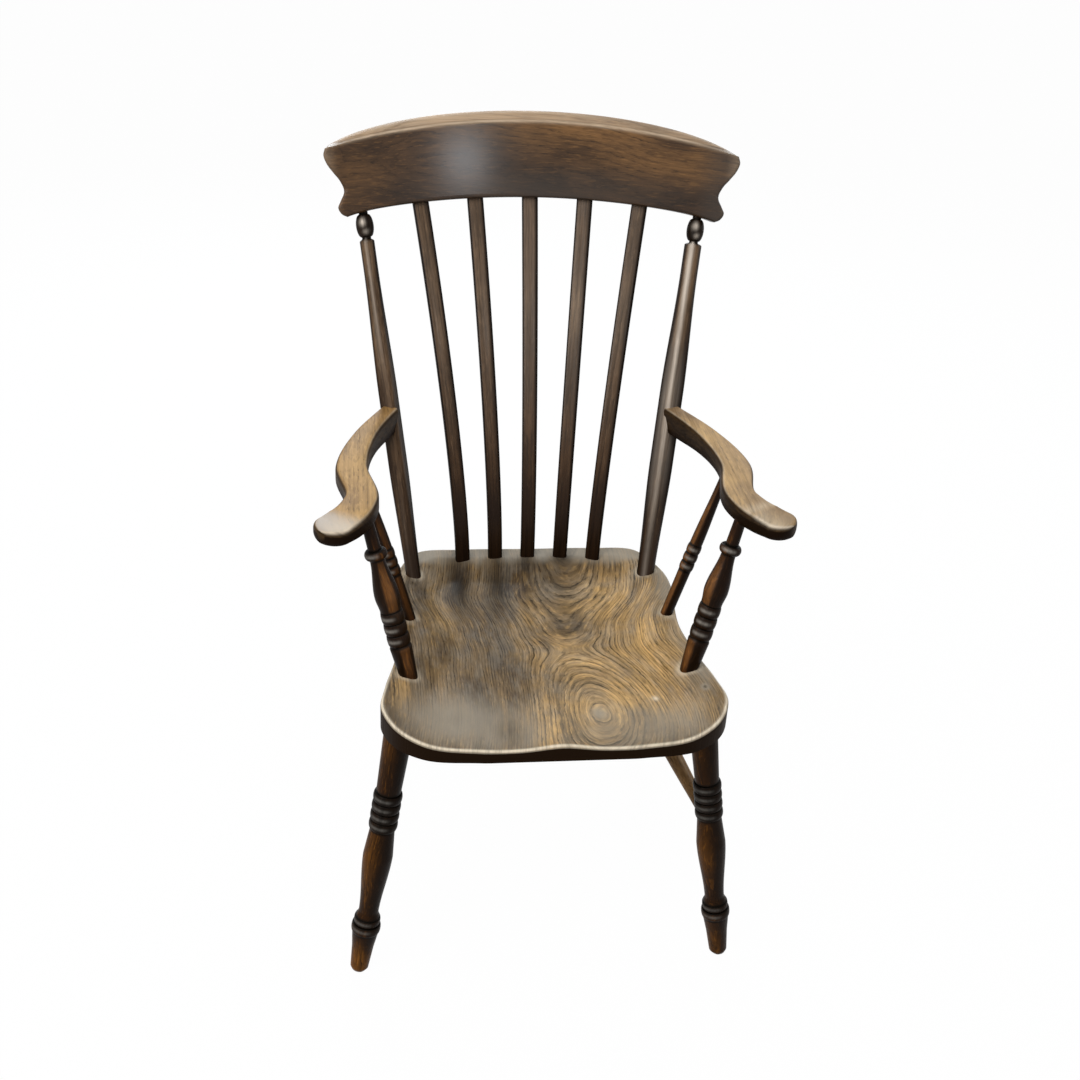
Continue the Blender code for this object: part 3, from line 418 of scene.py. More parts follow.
@dataclass
class Seat(SubAssembly):
    """Saddled plank: flat rim behind and beside, two thigh hollows and a low pommel at the front."""

    height: float = 0.437
    width: float = 0.444
    back_width: float = 0.388
    depth: float = 0.467
    thickness: float = 0.040
    front_corner: float = 0.048
    back_corner: float = 0.062
    flare: float = 0.236
    rim: float = 0.026
    slope: float = 0.055
    dish_depth: float = 0.017
    pommel: float = 0.006
    pommel_width: float = 0.036
    edge_round: float = 0.0045
    edge_height: float = 0.034
    undercut: float = 0.009
    # Rings of the surface over the saddle, round the edge, down the side and under the plank
    top_rings: int = 110
    edge_rings: int = 8
    side_rings: int = 8
    under_rings: int = 8
    pole_share: float = 0.02  # of the outline, left in the rings at both poles
    # Figure of the plank: place and sway of the rings' axis, the eye near the front, the bows behind it
    pith_x: float = 0.047
    pith_sway: float = 0.011
    eye_y: float = -0.160
    bows_y: float = -0.022
    under_shade: float = 0.55
    # Golden places, and grey places that are partly painted sheen along the front and the right rim, with a
    # knot and a small spot: (x, y, reach across, reach along, strength), from the seat's middle
    golden: Sequence[tuple[float, ...]] = (
        (0.118, 0.10, 0.055, 0.07, 0.85),
        (0.005, 0.06, 0.040, 0.05, 0.45),
        (-0.140, 0.05, 0.022, 0.06, 0.60),
        (0.000, -0.19, 0.050, 0.045, 0.85),
        (0.040, -0.03, 0.045, 0.04, 0.70),
        (0.075, -0.13, 0.070, 0.06, 0.90),
        (0.150, -0.02, 0.045, 0.07, 0.75),
        (-0.195, -0.11, 0.012, 0.04, 0.75),
        (0.155, -0.16, 0.045, 0.04, 0.40),
    )
    dull_and_sheen: Sequence[tuple[float, ...]] = (
        (-0.130, -0.165, 0.075, 0.060, 0.55),
        (-0.060, -0.20, 0.035, 0.040, 0.45),
        (0.080, -0.20, 0.120, 0.050, 0.24),
        (0.145, -0.175, 0.060, 0.050, 0.26),
        (0.055, -0.160, 0.009, 0.013, 0.45),
        (0.198, -0.130, 0.004, 0.005, 0.95),
        (0.190, 0.10, 0.018, 0.120, 0.40),
        (0.205, -0.08, 0.020, 0.050, 0.40),
    )
    # Painted dark reflections of the laths on the seat below them, and other darker places
    darkened: Sequence[tuple[float, ...]] = (
        (-0.107, 0.155, 0.021, 0.065, 0.95),
        (-0.051, 0.155, 0.019, 0.065, 0.90),
        (-0.080, 0.085, 0.050, 0.035, 0.35),
        (-0.004, 0.190, 0.015, 0.024, 0.65),
        (0.051, 0.195, 0.020, 0.022, 0.65),
        (0.020, 0.100, 0.050, 0.050, 0.22),
        (-0.075, -0.06, 0.040, 0.075, 0.32),
        (-0.060, -0.20, 0.018, 0.040, 0.40),
        (-0.150, 0.03, 0.050, 0.060, 0.20),
    )
    # Feet that stand on the seat, with dust round them: (x, y, radius) of the right half
    feet: Sequence[tuple[float, float, float]] = (
        (0.1865, -0.0845, 0.0125),
        (0.1802, 0.0465, 0.0085),
        (0.1710, 0.1625, 0.0115),
    )
    pale_spot: tuple[float, float] = (0.133, -0.132)
    bleached: Sequence[tuple[float, ...]] = ((0.050, -0.155, 0.055, 0.060, 0.09),)

    @property
    def front(self) -> float:
        """Y of the front edge."""
        return -self.depth / 2

    @property
    def back(self) -> float:
        """Y of the back edge."""
        return self.depth / 2

    @property
    def underside(self) -> float:
        """Height of the flat underside."""
        return self.height - self.thickness

    def point(self, width: float, inset: float, setback: float, level: float, side: Side) -> Array:
        """Place on the seat.

        Args:
            width: Width from whose half the inset is taken.
            inset: Distance inwards.
            setback: Distance from the front or, if negative, from the back.
            level: Height.
            side: Half of the chair.

        Returns:
            The place.
        """
        y = self.front + setback if setback > 0 else self.back + setback
        return mirrored((width / 2 - inset, y, level), side)

    @property
    def under_start(self) -> int:
        """Number of the first ring past the side."""
        return self.top_rings + self.edge_rings + self.side_rings

    def outline(self, steps: int = 14) -> Array:
        """Closed outline in plan: a cubic curve through the right half's points and their mirror image."""
        wide, narrow = self.width / 2, self.back_width / 2
        flare, corner, back = wide - narrow, self.front_corner, self.back_corner
        half = np.array([
            (0.0, self.front),
            (0.60 * (wide - corner), self.front + 0.02 * corner),
            (wide - corner, self.front + 0.25 * corner),
            (wide - 0.35 * corner, self.front + 0.75 * corner),
            (wide, self.front + 1.5 * corner),
            (narrow + 0.80 * flare, self.front + 0.52 * self.flare),
            (narrow + 0.38 * flare, self.front + 0.73 * self.flare),
            (narrow, self.front + self.flare),
            (narrow, self.back - back),
            (narrow - 0.48 * back, self.back - 0.12 * back),
            (0.5 * narrow, self.back),
            (0.0, self.back),
        ])
        flip = np.array((-1.0, 1.0))
        right = curve_through(half, steps, before=half[1] * flip, after=half[-2] * flip)
        return np.vstack([right, right[-2:0:-1] * flip])

    def dish(self, plan: Array, from_edge: Array) -> Array:
        """Depth of the saddle: the hollow inside the rim, run out over the front, less the pommel.

        Args:
            plan: Places in plan.
            from_edge: Their distance from the edge.

        Returns:
            Depths below the rim.
        """
        across, ahead = np.abs(plan[..., 0]), plan[..., 1] - self.front
        inside = smoothstep(from_edge, self.rim, self.rim + self.slope)
        front = smoothstep(-ahead, -2.6 * self.front_corner, -self.front_corner)
        front = front * (1 - np.minimum(across / (self.width / 2), 1.0) ** 4)
        pommel = smoothstep(-ahead, -0.4 * self.depth, 0.0) * bump(across, 0.0, self.pommel_width)
        return self.dish_depth * (inside + (1 - inside) * front) - self.pommel * pommel

    def annual_rings(self, x: Array, y: Array) -> Array:
        """Distance across the annual rings of a flat-sawn plank.

        It is the hypotenuse of the distance from a wandering axis and of a depth that has a low point
        under the oval eye near the front and falls away to the back, where the rings lie open like bows.
        It grows faster towards both sides, which crowds the rings there, and two sines of it are added, so
        that wide years and narrow years come in turns.

        Args:
            x: Places across the seat.
            y: Places from its middle towards the back.

        Returns:
            Distances, equal along each ring.
        """
        axis = self.pith_x + self.pith_sway * np.cos((y - self.eye_y) * 17.0)
        beside = x - axis
        spread = 0.55 * smoothstep(y, 0.03, 0.14)
        beside = beside - spread * 0.060 * np.tanh(beside / 0.060)
        beside = beside + 0.06 * (y + 0.05) * np.tanh(beside / 0.05)
        eye = np.hypot(0.010, 0.46 * (y - self.eye_y))
        back = 0.060 - 0.20 * (y - self.bows_y)
        weight = smoothstep(y, -0.05, 0.03)
        under = eye * (1 - weight) + np.maximum(back, 0.008) * weight
        rings = np.hypot(beside, under)
        rings = rings * (1 + 0.35 * smoothstep(-beside, 0.03, 0.16) + 0.3 * smoothstep(beside, 0.05, 0.16))
        return rings + 0.0011 * np.sin(rings * 190.0) + 0.0022 * np.sin(rings * 62.0)

    def places(self, spots: Sequence[tuple[float, ...]], x: Array, y: Array) -> Array:
        """Strength of a list of soft spots: 1 less the product of what each leaves over."""
        left = np.ones_like(x)
        for across, along, wide, long, strength in spots:
            left = left * (1 - strength * bump(x, across, wide) * bump(y, along, long))
        return 1 - left

    def surface(self) -> Surface:
        """Rings of the outline: over the saddle, round the top edge, down the side and under the plank."""
        outline = self.outline()
        reach = np.linalg.norm(outline, axis=1)
        share = np.linspace(self.pole_share, 1.0, self.top_rings)[:, None]
        inset_top = self.edge_round + (reach - self.edge_round) * (1 - share)
        quarter = np.linspace(0.0, math.pi / 2, self.edge_rings + 1)[1:, None]
        inset = np.vstack([inset_top, self.edge_round * (1 - np.sin(quarter)) + 0 * reach])
        drop = np.vstack([0 * inset_top, self.edge_round * (1 - np.cos(quarter)) + 0 * reach])
        plan = outline * (1 - inset / reach)[..., None]
        level = -drop - self.dish(plan, inset)
        side = np.array([(0.0, self.edge_height), (0.25, self.edge_height + 0.001), (1.0, self.thickness)])
        down = np.linspace(0.12, 0.97, self.side_rings)[:, None]
        side_level = level[-1] + down * (-self.edge_height - level[-1])
        inwards = np.linspace(0.12, 0.98, self.under_rings)[:, None]
        under_inset = self.undercut + (reach - self.undercut) * inwards
        under_inset = np.vstack([side[:, :1] * self.undercut + 0 * reach, under_inset])
        under_drop = np.concatenate([side[:, 1], np.full(self.under_rings, self.thickness)])
        under_level = -under_drop[:, None] + 0 * reach
        inset = np.vstack([inset, 0 * side_level, under_inset])
        level = np.vstack([level, side_level, under_level])
        plan = outline * np.maximum(1 - inset / reach, self.pole_share)[..., None]
        rings = np.concatenate([plan, level[..., None] + self.height], axis=-1)
        beyond = np.arange(len(rings))[:, None] - self.top_rings
        edge = smoothstep(beyond, -2.0, 0.5) * (1 - smoothstep(beyond, 2.5, 5.0))
        # painted lath reflections and darker places go into the top's shade
        darkened = self.places(self.darkened, plan[..., 0], plan[..., 1])
        shade = np.where(beyond < 2, darkened, self.under_shade * self.under(beyond))
        return Surface(rings, self.grain(plan), self.marks(plan, edge, beyond), shade)

    def under(self, beyond: Array) -> Array:
        """1 on the bare underside and 0 elsewhere, by the number of rings beyond the top."""
        start = self.under_start - self.top_rings
        return smoothstep(beyond, start + 0.5, start + 2.5)

    def grain(self, plan: Array) -> Array:
        """Annual rings, with the wood running from front to back."""
        x, y = plan[..., 0], plan[..., 1]
        return layers(self.annual_rings(x, y), y, 0.15 * x)

    def marks(self, plan: Array, edge: Array, beyond: Array) -> Array:
        """Pale worn edge, bleached and dusty places, dark side, grey places and rear rim that are partly
        painted sheen, golden places, bare underside.

        Args:
            plan: Places in plan.
            edge: Nearness to the top edge.
            beyond: Number of rings beyond the top, less than 0 on it.

        Returns:
            Pale worn places, dark and grey places, and glow.
        """
        x, y = plan[..., 0], plan[..., 1]
        ahead = y - self.front
        front = 1 - smoothstep(ahead, 0.08, 0.20)
        wear = edge * (0.22 + 0.78 * front)
        spot = np.hypot(x - self.pale_spot[0], y - self.pale_spot[1])
        pale = np.maximum(0.75 * bump(spot, 0.0, 0.0045), self.places(self.bleached, x, y))
        wear = np.maximum(wear, np.where(beyond < 2, pale, 0.0))
        for foot_x, foot_y, radius in self.feet:
            away = np.hypot(np.abs(x) - foot_x, y - foot_y)
            wear = np.maximum(wear, np.where(beyond < 0, 0.40 * bump(away, radius + 0.0015, 0.0035), 0.0))
        side = smoothstep(beyond, 3.5, 6.5) * (1 - self.under(beyond))
        # grey along the rear rim, partly painted sheen
        rim = smoothstep(y, self.back - 0.050, self.back - 0.030) * 0.42
        grime = np.maximum(side, np.where(beyond < 6, np.maximum(self.places(self.dull_and_sheen, x, y), rim), 0.0))
        glow = np.where(beyond < 6, self.places(self.golden, x, y), 0.0)
        return layers(wear, grime, glow)

    def pieces(self) -> Iterator[Piece]:
        """The plank."""
        yield Piece("seat", "seat_wood", self.surface())


# Legs and stretchers


@dataclass
class Base(SubAssembly):
    """Four turned legs tied by an H of stretchers."""

    seat: Seat
    front_inset: float = 0.0245
    front_setback: float = 0.098
    front_splay: float = 8.3
    front_rake: float = 4.8
    rear_inset: float = 0.054
    rear_setback: float = 0.109
    rear_splay: float = 9.0
    rear_rake: float = 22.5
    foot: float = 0.0125
    foot_round: float = 0.004
    peg: float = 0.017
    peg_length: float = 0.066
    peg_flare: float = 0.6
    peg_lip: float = 0.0012
    collar: float = 0.020
    collar_height: float = 0.014
    ankle_ring: float = 0.018
    ankle_ring_height: float = 0.011
    neck: float = 0.0135
    neck_rise: float = 0.008
    vase: float = 0.020
    vase_rise: float = 0.095
    ring_count: int = 4
    ring_height: float = 0.0145
    ring: float = 0.0193
    ring_drop: float = 0.107
    top: float = 0.0195
    groove: float = 0.20
    tenon: float = 0.012
    # Strength of the worn glow at the foot and of the glow on the vase, partly painted light, left and right
    foot_glow: tuple[float, float] = (0.95, 0.40)
    vase_glow: tuple[float, float] = (0.42, 0.30)
    stretcher_drop: float = 0.011
    stretcher_end: float = 0.0085
    side_stretcher: float = 0.012
    cross_stretcher: float = 0.011

    def axis(self, kind: str, side: Side) -> tuple[Array, Array]:
        """Where a leg's axis meets the seat's underside and the floor.

        Args:
            kind: "front" or "rear".
            side: Half of the chair.

        Returns:
            Head and foot.
        """
        seat = self.seat
        if kind == "front":
            head = seat.point(seat.width, self.front_inset, self.front_setback, seat.underside, side)
            splay, rake = self.front_splay, -self.front_rake
        else:
            head = seat.point(seat.back_width, self.rear_inset, -self.rear_setback, seat.underside, side)
            splay, rake = self.rear_splay, self.rear_rake
        lean = np.array((side.value * math.tan(math.radians(splay)), math.tan(math.radians(rake)), -1.0))
        return head, head + lean * seat.underside

    def leg(self, kind: str, side: Side) -> Surface:
        """Turned leg. Points below the floor slide up its axis, which cuts the foot level.

        Args:
            kind: "front" or "rear".
            side: Half of the chair.

        Returns:
            The leg's surface.
        """
        head, foot = self.axis(kind, side)
        length = float(np.linalg.norm(head - foot))
        collar_top = self.peg_length + self.collar_height
        ankle_top = collar_top + self.ankle_ring_height
        neck_at = ankle_top + self.neck_rise
        vase_at = neck_at + self.vase_rise
        rings_foot = length - self.ring_drop - self.ring_count * self.ring_height
        root = self.ring - self.groove * self.ring_height
        profile = turned_profile(
            run((-self.foot_round, self.foot - self.foot_round), (self.foot_round, self.foot)),
            run((self.peg_flare * self.peg_length, 0.45 * self.foot + 0.55 * self.peg)),
            run((self.peg_length, self.peg + self.peg_lip)),
            bead(self.peg_length, self.collar_height, self.peg + self.peg_lip, self.collar),
            bead(collar_top, self.ankle_ring_height, self.peg - 0.0006, self.ankle_ring, 0.8),
            run((neck_at, self.neck)),
            swell(neck_at, vase_at, self.neck, self.vase),
            run((rings_foot, root)),
            beads(rings_foot, self.ring_count, self.ring_height, root, self.ring),
            run((length, self.top), (length + self.tenon, self.top - 0.001)),
        )
        pith = (0.030 * side.value, 0.055 if kind == "front" else -0.05)
        rings, grain = turned(profile, foot, head, pith)
        axis = unit(head - foot)
        rings = rings + np.maximum(-rings[..., 2:], 0.0) / axis[2] * axis
        grain = grain + (0.3 * side.value, 1.7 if kind == "front" else 4.1, 0.0)
        grooves = rings_foot + np.arange(self.ring_count + 1) * self.ring_height
        grooves = np.append(grooves, (self.peg_length, collar_top, ankle_top))
        height = profile[:, :1]
        left, highlight_side = turned_facing(rings.shape[1])
        middles = rings_foot + (np.arange(self.ring_count) + 0.55) * self.ring_height
        middles = np.append(middles, collar_top + 0.55 * self.ankle_ring_height)
        middles = np.append(middles, self.peg_length + 0.6 * self.collar_height)
        # painted highlights on the beads' crowns, facing ahead and left, partly rubbed grey crowns
        crowns = np.max(bump(height, middles, 0.0021), axis=1, keepdims=True)
        groove = np.max(bump(height, grooves, 0.0022), axis=1, keepdims=True)
        block = smoothstep(height, rings_foot - 0.004, rings_foot + 0.002)
        rings_top = length - self.ring_drop
        block = block * (1 - smoothstep(height, rings_top - 0.002, rings_top + 0.004))
        ankle = bump(height, collar_top + 0.004, 0.011)
        which = 0 if side is Side.LEFT else 1
        foot_glow = (1 - smoothstep(height, 0.010, self.peg_length)) * self.foot_glow[which]
        # the glow on the vase and near the top lies on the lit left side: partly painted light
        vase_glow = bump(height, vase_at - 0.01, 0.050) * self.vase_glow[which]
        top_glow = 0.16 * smoothstep(height, length - 0.10, length - 0.03)
        glow = np.maximum(foot_glow, (vase_glow + top_glow) * left)
        # painted shade on the side away from the light, beside darker grooves, ring block and ankle
        grime = strongest(groove, 0.80 * block, 0.55 * ankle, 0.65 * (1 - left)) * (1 - 0.7 * foot_glow)
        return Surface(rings, grain, layers(0.42 * crowns * highlight_side, grime, glow))

    def stretcher_place(self, kind: str, side: Side) -> Array:
        """Where a side stretcher's axis meets a leg's axis, below the leg's rings."""
        head, foot = self.axis(kind, side)
        drop = self.ring_drop + self.ring_count * self.ring_height + self.stretcher_drop
        return head + unit(foot - head) * drop

    def stretcher(self, start: Array, end: Array, middle: float, pith: tuple[float, float]) -> Surface:
        """Stretcher between two axes, thickest in its middle, with slightly dirty ends.

        Args:
            start: First end.
            end: Second end.
            middle: Radius in the middle.
            pith: Place of the pith beside it.

        Returns:
            Its surface.
        """
        length = float(np.linalg.norm(end - start))
        tip = self.stretcher_end
        profile = turned_profile(
            swell(0.0, length / 2, tip, middle), swell(length / 2, length, middle, tip), spacing=0.008
        )
        rings, grain = turned(profile, start, end, pith, sides=40)
        from_end = np.minimum(profile[:, :1], length - profile[:, :1])
        grime = 0.75 * (1 - smoothstep(from_end, 0.012, 0.050))
        return Surface(rings, grain, layers(0.0, grime, bump(from_end, length / 2, length / 3)))

    def pieces(self) -> Iterator[Piece]:
        """Legs, side stretchers and cross stretcher."""
        middles = []
        for side in Side:
            for kind in ("front", "rear"):
                yield Piece(f"{kind}_leg_{side.label}", "leg_wood", self.leg(kind, side))
            ends = [self.stretcher_place(kind, side) for kind in ("front", "rear")]
            middles.append((ends[0] + ends[1]) / 2)
            surface = self.stretcher(*ends, self.side_stretcher, (0.04, 0.02 * side.value))
            yield Piece(f"side_stretcher_{side.label}", "stretcher_wood", surface)
        surface = self.stretcher(*middles, self.cross_stretcher, (0.03, 0.03))
        yield Piece("cross_stretcher", "stretcher_wood", surface)


# Back


@dataclass
class Back(SubAssembly):
    """Curved crest rail on five bent laths and two posts."""

    seat: Seat
    rise: float = 0.4937
    setback: float = 0.139
    radius: float = 0.770
    rake: float = 16.0
    length: float = 0.575
    depth: float = 0.1033
    thickness: float = 0.028
    top_arch: float = 0.0283
    bottom_arch: float = 0.014
    roll: float = 0.0155
    roll_fade: float = 0.5
    round: float = 0.004
    ear_inset: float = 0.0124
    ear_height: float = 0.0135
    ear_drop: float = 0.004
    notch_inset: float = 0.0232
    notch_height: float = 0.0345
    heel_inset: float = 0.0243
    # Section of the rolled top: (share of the thickness, share of the roll)
    crown: Sequence[tuple[float, float]] = (
        (0.0, 0.0), (0.14, 0.25), (0.40, 0.78), (0.70, 1.0), (0.92, 0.70), (1.0, 0.0),
    )
    lath_count: int = 5
    lath_foot_spacing: float = 0.0485
    lath_top_spacing: float = 0.0775
    lath_setback: float = 0.0226
    lath_foot_width: float = 0.0208
    lath_top_width: float = 0.0228
    lath_thickness: float = 0.012
    lath_softness: float = 0.55
    lath_bend: float = 1.35
    # Painted grey sheen on the laths' upper faces, and their golden tone, from the left
    lath_sheen: Sequence[float] = (0.05, 0.06, 0.12, 0.135, 0.095)
    lath_gold: Sequence[float] = (0.46, 0.42, 0.08, 0.16, 0.36)
    post_inset: float = 0.023
    post_setback: float = 0.071
    post_spread: float = 0.475
    post_foot: float = 0.0106
    post_half: float = 0.0113
    post_top: float = 0.0102
    post_neck: float = 0.0063
    post_ball: float = 0.01225
    post_ball_height: float = 0.031
    post_ball_gap: float = 0.004
    post_arris: float = 0.4
    post_stout: float = 1.2  # of the right one, which is thicker
    # Painted highlight streaks up the posts: (strength at the foot, rise in strength, reach, place from left
    # to right)
    left_streak: tuple[float, ...] = (0.05, 0.21, 0.20, -0.20)
    right_streak: tuple[float, ...] = (0.50, 0.45, 0.27, -0.34)
    tenon: float = 0.012

    @property
    def tip(self) -> float:
        """Half of the rail's length, along its curve."""
        return self.length / 2

    @property
    def heel(self) -> float:
        """Where the round of an ear runs into the lower edge."""
        return self.tip - self.heel_inset

    def rail_point(self, along: Array, rise: Array, depth: Array) -> Array:
        """Place on the rail: an arc in plan whose radius grows with the raked rise and the depth.

        Args:
            along: Distance along the front face's curve, from the middle.
            rise: Distance up the raked face.
            depth: Distance back from it.

        Returns:
            The places.
        """
        turn, rake = np.asarray(along) / self.radius, math.radians(self.rake)
        reach = self.radius + np.asarray(rise) * math.sin(rake) + np.asarray(depth) * math.cos(rake)
        level = self.seat.height + self.rise
        level = level + np.asarray(rise) * math.cos(rake) - np.asarray(depth) * math.sin(rake)
        middle = self.seat.back + self.setback - self.radius
        return layers(reach * np.sin(turn), middle + reach * np.cos(turn), level)

    def lower_edge(self, along: Array) -> Array:
        """Rise of the lower edge: a shallow arch that drops at the ears."""
        share = np.asarray(along) / self.heel
        return -self.bottom_arch * share**2 - self.ear_drop * share**12

    def rail_end(self, steps: int = 5) -> Array:
        """Outline of the right end as (along, rise): heel, ear, notch, sweep and rounded tip."""
        low, high = float(self.lower_edge(self.heel)), self.depth - self.top_arch
        ear, notch = self.tip - self.ear_inset, self.tip - self.notch_inset
        notch_rise = low + self.notch_height
        sweep = high - notch_rise
        return curve_through(np.array([
            (self.heel, low),
            (0.40 * self.heel + 0.60 * ear, low + 0.28 * self.ear_height),
            (ear, low + self.ear_height),
            (0.65 * ear + 0.35 * notch, low + 0.65 * self.ear_height + 0.35 * self.notch_height),
            (notch, notch_rise),
            (self.tip - 0.80 * self.notch_inset, notch_rise + 0.25 * sweep),
            (self.tip - 0.48 * self.notch_inset, notch_rise + 0.43 * sweep),
            (self.tip - 0.10 * self.notch_inset, notch_rise + 0.68 * sweep),
            (self.tip, notch_rise + 0.85 * sweep),
            (self.tip - 0.75 * self.round, high),
        ]), steps)

    def rail(self) -> Surface:
        """Sections along the rail: face, rolled top and back, eased round the ends.

        A section at a share of the half length takes its along from that share of the end's outline and
        its rise from the outline's level between the lower and the upper edge. Behind the face the along
        shrinks as radius / (radius + depth), which saws the ends straight back. The roll fades by the
        fourth power of the share, and closes at the tips by the root of 1 less its tenth power.
        """
        shoulder = 1 - self.round / self.tip
        bend = np.sin(np.linspace(0.0, math.pi / 2, 7)[1:])
        half = np.concatenate([np.linspace(0.0, shoulder, 80), shoulder + (1 - shoulder) * bend])
        share = np.concatenate([-half[:0:-1], half])[:, None]
        eased = np.clip((np.abs(share) - shoulder) / (1 - shoulder), 0.0, 1.0)
        squeeze = self.round * (1 - np.sqrt(1 - eased**2))
        end = self.rail_end()
        level = (end[:, 1] - end[0, 1]) / (end[-1, 1] - end[0, 1])
        low, high = self.lower_edge(share * self.heel), self.depth - self.top_arch * share**2
        rise = low + level * (high - low)
        along = share * end[:, 0]
        from_low = np.clip(level * self.depth / self.round, 0.0, 1.0)
        heel_ease = self.round * (1 - np.sqrt(1 - (1 - from_low) ** 2))
        front = np.maximum(squeeze, heel_ease)
        across, up = curve_through(np.array(self.crown), 7)[1:-1].T
        roll = self.roll * (1 - self.roll_fade * share**4) * np.sqrt(1 - share**10)
        crown_depth = squeeze + (self.thickness - 2 * squeeze) * across
        crown_rise = high + roll * up
        crown_along = share * end[-1, 0] + 0 * across
        along = np.hstack([along, crown_along, along[:, ::-1]])
        rise_all = np.hstack([rise, crown_rise, rise[:, ::-1]])
        depth = np.hstack([front, crown_depth, (self.thickness - front)[:, ::-1]])
        behind = np.hstack([0 * front, crown_depth, (self.thickness - front)[:, ::-1]])
        along = along * self.radius / (self.radius + behind)
        rings = self.rail_point(along, rise_all, depth)
        marks = self.rail_marks(along, rise_all, depth, high)
        return Surface(rings, self.rail_grain(along, rise_all, depth), marks)

    def rail_grain(self, along: Array, rise: Array, depth: Array) -> Array:
        """Annual rings that run along the rail and bow round a centre near each end."""
        left = 0.022 * bump(along, -0.235, 0.055)
        right = 0.010 * bump(along, 0.19, 0.07)
        across = np.hypot(0.75 * (rise - 0.035) + 0.10 * along, depth + 0.030)
        return layers(across + (left + right) * (rise / 0.10), along, rise)

    def rail_marks(self, along: Array, rise: Array, depth: Array, high: Array) -> Array:
        """Pale front edge and top, partly rubbed and partly painted highlight and light; grey lower middle,
        partly painted sheen; golden streaks towards the right.

        Args:
            along: Distance along the rail.
            rise: Distance up its face.
            depth: Distance back from it.
            high: Rise of the face's upper edge.

        Returns:
            Worn places with painted highlights, dark and grey places, and glow.
        """
        share = along / self.tip
        above = rise - high
        # painted highlight along the rounded front edge of the top, partly rubbing
        edge = bump(above, 0.0012, 0.0026) * (1 - smoothstep(depth, 0.004, 0.009))
        fade = 1 - smoothstep(np.abs(share), 0.70, 1.0)
        # the top paler and golden, partly painted light from above
        crown = smoothstep(above, 0.001, 0.005)
        wear = np.maximum(edge * (0.30 + 0.50 * fade), crown * (0.42 + 0.20 * bump(share, -0.35, 0.5)))
        ends = smoothstep(np.abs(share), 0.93, 1.0) * 0.22
        right = smoothstep(share, -0.15, 0.75) * bump(rise, 0.062, 0.028)
        left = smoothstep(-share, 0.55, 0.9) * bump(rise, 0.04, 0.05) * 0.25
        upper = bump(rise, 0.092, 0.022) * bump(share, 0.1, 0.60)
        face = 1 - crown
        glow = np.maximum(crown * (0.95 - 0.25 * np.abs(share)), face * strongest(0.70 * right, left, upper))
        # grey lower middle of the face, partly painted sheen through the patina
        low = bump(rise, 0.012, 0.034) * bump(share, 0.05, 0.7)
        dull_left, dull_right = bump(share, -0.25, 0.3), smoothstep(share, 0.72, 0.95)
        grime = face * strongest(0.45 * low, 0.30 * dull_left, 0.40 * dull_right)
        behind = smoothstep(depth, 0.70 * self.thickness, 0.85 * self.thickness)
        behind = behind * smoothstep(above, -0.006, 0.0)
        return layers(np.maximum(wear, ends) * (1 - behind), np.maximum(grime, behind), glow)

    def lath(self, index: int) -> Surface:
        """Bent lath: its lean follows a power of the height, and its section is an eased rectangle.

        Args:
            index: Number of the lath, from the left.

        Returns:
            Its surface.
        """
        place = index - (self.lath_count - 1) / 2
        along, foot_x = place * self.lath_top_spacing, place * self.lath_foot_spacing
        foot_y = self.seat.back - self.lath_setback - self.radius + math.sqrt(self.radius**2 - foot_x**2)
        foot = np.array((foot_x, foot_y, self.seat.height))
        head = self.rail_point(along, self.lower_edge(along), self.thickness / 2)
        height = head[2] - foot[2]
        share = np.linspace(-0.024, 1.022, 120)
        inside = np.clip(share, 1e-6, 1.0)
        slope = self.lath_bend * inside ** (self.lath_bend - 1)
        lean = inside**self.lath_bend + slope * (share - inside)
        step = head[:2] - foot[:2]
        centre = layers(foot[0] + step[0] * lean, foot[1] + step[1] * lean, foot[2] + height * share)
        along_lath = unit(layers(step[0] * slope, step[1] * slope, height))
        facing = along / self.radius
        across = np.array((math.cos(facing), -math.sin(facing), 0.0))
        out = unit(np.cross(along_lath, across))
        half = (self.lath_foot_width + (self.lath_top_width - self.lath_foot_width) * inside) / 2
        deep = np.full_like(half, self.lath_thickness / 2)
        section = pillow(48, half, deep, self.lath_softness)
        rings = centre[:, None] + section[..., :1] * across + section[..., 1:] * out[:, None]
        wide, thick = section[..., 0], section[..., 1]
        up = share[:, None] * height
        grain = layers(np.hypot(wide - 0.035, thick + 0.02 + 0.01 * place), up + 0.9 * index, wide)
        # painted shade on both edges of each lath, strongest on the right, and towards its foot
        corner = np.maximum(
            smoothstep(wide, 0.35 * half[:, None], 0.85 * half[:, None]),
            smoothstep(-wide, 0.72 * half[:, None], 0.96 * half[:, None]),
        )
        grime = np.maximum(0.9 * corner, 0.75 * (1 - smoothstep(share, 0.0, 0.42))[:, None])
        upper = smoothstep(share, 0.10, 0.80)[:, None] * (1 - corner)
        # painted highlight patch, strongest on the fourth lath, and painted grey sheen on the upper face
        patch = bump(share, 0.70, 0.07)[:, None] * (0.8 if index == 3 else 0.25)
        grey = self.lath_sheen[index] * upper * (1 - 0.25 * smoothstep(share, 0.70, 1.0))[:, None]
        gold = self.lath_gold[index] * upper + patch * (1 - corner)
        return Surface(rings, grain, layers(grey, grime, gold))

    def post_axis(self, side: Side) -> tuple[Array, Array]:
        """Where a post's axis meets the seat and the rail's lower edge."""
        seat, along = self.seat, self.post_spread / 2
        foot = seat.point(seat.back_width, self.post_inset, -self.post_setback, seat.height, side)
        return foot, mirrored(self.rail_point(along, self.lower_edge(along), self.thickness / 2), side)

